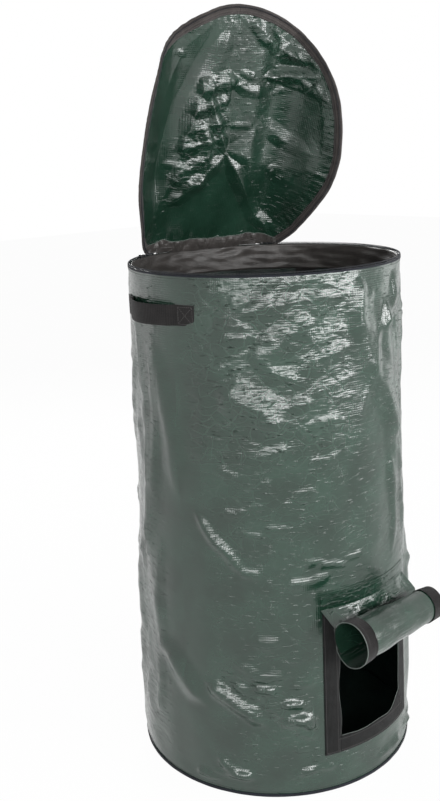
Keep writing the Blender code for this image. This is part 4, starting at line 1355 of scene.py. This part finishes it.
def strapRadius(offset):
    seat = (wallRadius(handle["height"] - handle["width"] / 2) + 0.3 * mm + handle["thickness"] / 2)
    patchEdge = handle["halfSpan"] - handle["patch"]
    root = patchEdge - handle["ramp"]
    away = np.abs(offset)
    ramp = smooth((patchEdge - away) / handle["ramp"])
    bow = np.cos(math.pi / 2 * np.clip(away / root, 0, 1))
    return seat + handle["rootStandoff"] * ramp + (handle["middleStandoff"] - handle["rootStandoff"]) * bow


def makeHandle(side, name):
    azimuth = side * handle["azimuth"]
    low, high = handle["height"] - handle["width"] / 2, handle["height"] + handle["width"] / 2

    def place(across, along):
        offset = handle["halfSpan"] * (across * 2 - 1)
        height = low + (high - low) * along
        cupped = handle["cupping"] * (2 * along - 1) ** 2 * smooth((14 - np.abs(offset)) / 6)
        return around(strapRadius(offset) - cupped, azimuth + offset, height)

    def cut(across, along):
        return np.radians(handle["halfSpan"] * (across * 2 - 1)) * 0.22, (high - low) * along

    shape = gridSheet(110, 8, place, cut)[0]
    nodes = [f"{name}_loop", f"{name}_front_end", f"{name}_rear_end"]
    pieceName = "handleLeft" if side < 0 else "handleRight"
    strap = finishPiece(pieceName, shape, (webbing,), nodes, None, handle["thickness"])
    edge = strap.modifiers.new("edge", "BEVEL")
    edge.width = 0.4 * mm
    edge.segments = 2
    edge.limit_method = "ANGLE"
    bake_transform(strap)

    # Box with a cross sewn through each end
    routes = []
    bottom, top = low + handle["seamMargin"], high - handle["seamMargin"]
    for end in (-1, 1):
        near = end * (handle["halfSpan"] - handle["patch"] + handle["seamInset"])
        far = end * (handle["halfSpan"] - handle["seamInset"])
        corners = [(near, bottom), (far, bottom), (far, top), (near, top)]
        legs = [(corners[index], corners[(index + 1) % 4]) for index in range(4)]
        legs += [(corners[0], corners[2]), (corners[1], corners[3])]
        for (firstOffset, firstHeight), (lastOffset, lastHeight) in legs:
            share = np.linspace(0, 1, 12)
            offset = firstOffset + (lastOffset - firstOffset) * share
            height = firstHeight + (lastHeight - firstHeight) * share
            outside = strapRadius(offset) + handle["thickness"] / 2 + 0.1 * mm
            routes.append(around(outside, azimuth + offset, height))
    sewSeams(f"{pieceName}Stitches", routes, greyThread)


makeZip()
makeHandle(-1, "handle_left")
makeHandle(1, "handle_right")


print("camera and studio")

photo = {"azimuth": -44.0, "distance": 1.537, "height": 0.9738, "pitch": 14.610, "yaw": -2.836,
         "roll": -2.366, "lens": 44.29, "sensor": 36.0}
strip = {"elevation": 14, "distance": 2.0, "size": (1.20, 0.32)}
studio = [
    dict(strip, name="leftStrip", azimuth=-58, power=10),
    dict(strip, name="frontStrip", azimuth=-22, power=16),
    dict(strip, name="rightStrip", azimuth=14, power=16),
    {"name": "sideSoftbox", "azimuth": 74, "elevation": 0, "distance": 2.4, "size": (1.00, 0.90), "power": 4},
    {"name": "lidLamp", "azimuth": 24, "elevation": 2, "distance": 2.2, "size": (0.60, 0.30), "power": 9},
    {"name": "rearLeftLamp", "azimuth": -150, "elevation": 2, "distance": 2.2, "size": (0.40, 1.00),
     "power": 1.2},
    {"name": "backLamp", "azimuth": 150, "elevation": 30, "distance": 2.4, "size": (0.80, 1.20), "power": 30},
]
surround = {"diffuse": 0.28, "shown": 1.0, "floorColour": "#FCFCFC", "floorGlow": 0.965, "floorSize": 9.0}


def makeCamera():
    pitch, yaw, roll = (math.radians(photo[name]) for name in ("pitch", "yaw", "roll"))
    forward = Vector((math.sin(yaw) * math.cos(pitch), math.cos(yaw) * math.cos(pitch), -math.sin(pitch)))
    right = Vector((math.cos(yaw), -math.sin(yaw), 0.0))
    above = right.cross(forward)
    turnedRight = math.cos(roll) * right + math.sin(roll) * above
    turnedAbove = math.cos(roll) * above - math.sin(roll) * right
    place = Matrix((turnedRight, turnedAbove, -forward)).transposed().to_4x4()
    place.translation = (0.0, -photo["distance"], photo["height"])
    data = bpy.data.cameras.new("photographCamera")
    data.lens = photo["lens"]
    data.sensor_width = photo["sensor"]
    data.sensor_fit = "AUTO"
    camera = bpy.data.objects.new("photographCamera", data)
    camera.matrix_world = Matrix.Rotation(math.radians(photo["azimuth"]), 4, "Z") @ place
    scene.collection.objects.link(camera)
    scene.camera = camera


def makeLamps():
    aim = Vector((0.0, 0.0, 0.55))  # the upper middle of the bag, which every lamp faces
    for lamp in studio:
        azimuth, elevation = math.radians(lamp["azimuth"]), math.radians(lamp["elevation"])
        direction = Vector((math.sin(azimuth) * math.cos(elevation), -math.cos(azimuth) * math.cos(elevation),
                            math.sin(elevation)))
        data = bpy.data.lights.new(lamp["name"], "AREA")
        data.shape = "RECTANGLE"
        data.size, data.size_y = lamp["size"]
        data.energy = lamp["power"]
        item = bpy.data.objects.new(lamp["name"], data)
        item.location = aim + direction * lamp["distance"]
        item.rotation_euler = direction.to_track_quat("Z", "Y").to_euler()
        item.visible_camera = False
        scene.collection.objects.link(item)


def shownDirectly(tree):
    # 1 for what the camera sees directly, in a reflection or through glass
    path = addNode(tree, "ShaderNodeLightPath")
    mirrored = combined(tree, "MAXIMUM", path.outputs["Is Glossy Ray"], path.outputs["Is Transmission Ray"])
    return combined(tree, "MAXIMUM", path.outputs["Is Camera Ray"], mirrored)


def makeSurround():
    white = (1.0, 1.0, 1.0, 1.0)
    world = bpy.data.worlds.new("studio")
    scene.world = world
    world.use_nodes = True
    tree = world.node_tree
    strength = mapped(tree, shownDirectly(tree), 0.0, 1.0, surround["diffuse"], surround["shown"])
    connect(tree, tree.nodes["Background"], {"Color": white, "Strength": strength})

    shape = bmesh.new()
    bmesh.ops.create_grid(shape, x_segments=4, y_segments=4, size=surround["floorSize"])
    for vertex in shape.verts:
        vertex.co.z = -0.3 * mm
    mesh = bpy.data.meshes.new("studioFloor")
    shape.to_mesh(mesh)
    shape.free()
    floor = bpy.data.objects.new("studioFloor", mesh)
    scene.collection.objects.link(floor)
    paper, tree, shader = newFinish("paper backdrop, matte")
    connect(tree, shader, {"Base Color": linear(surround["floorColour"]), "Roughness": 0.95,
                           "Specular IOR Level": 0.1})
    glow = addNode(tree, "ShaderNodeEmission", None, {"Color": white})
    share = combined(tree, "MULTIPLY", shownDirectly(tree), surround["floorGlow"])
    mixed = addNode(tree, "ShaderNodeMixShader", None, {0: share, 1: shader.outputs[0], 2: glow.outputs[0]})
    connect(tree, tree.nodes["Material Output"], {"Surface": mixed.outputs[0]})
    mesh.materials.append(paper)


makeCamera()
makeLamps()
makeSurround()
scene.view_settings.view_transform = "Standard"
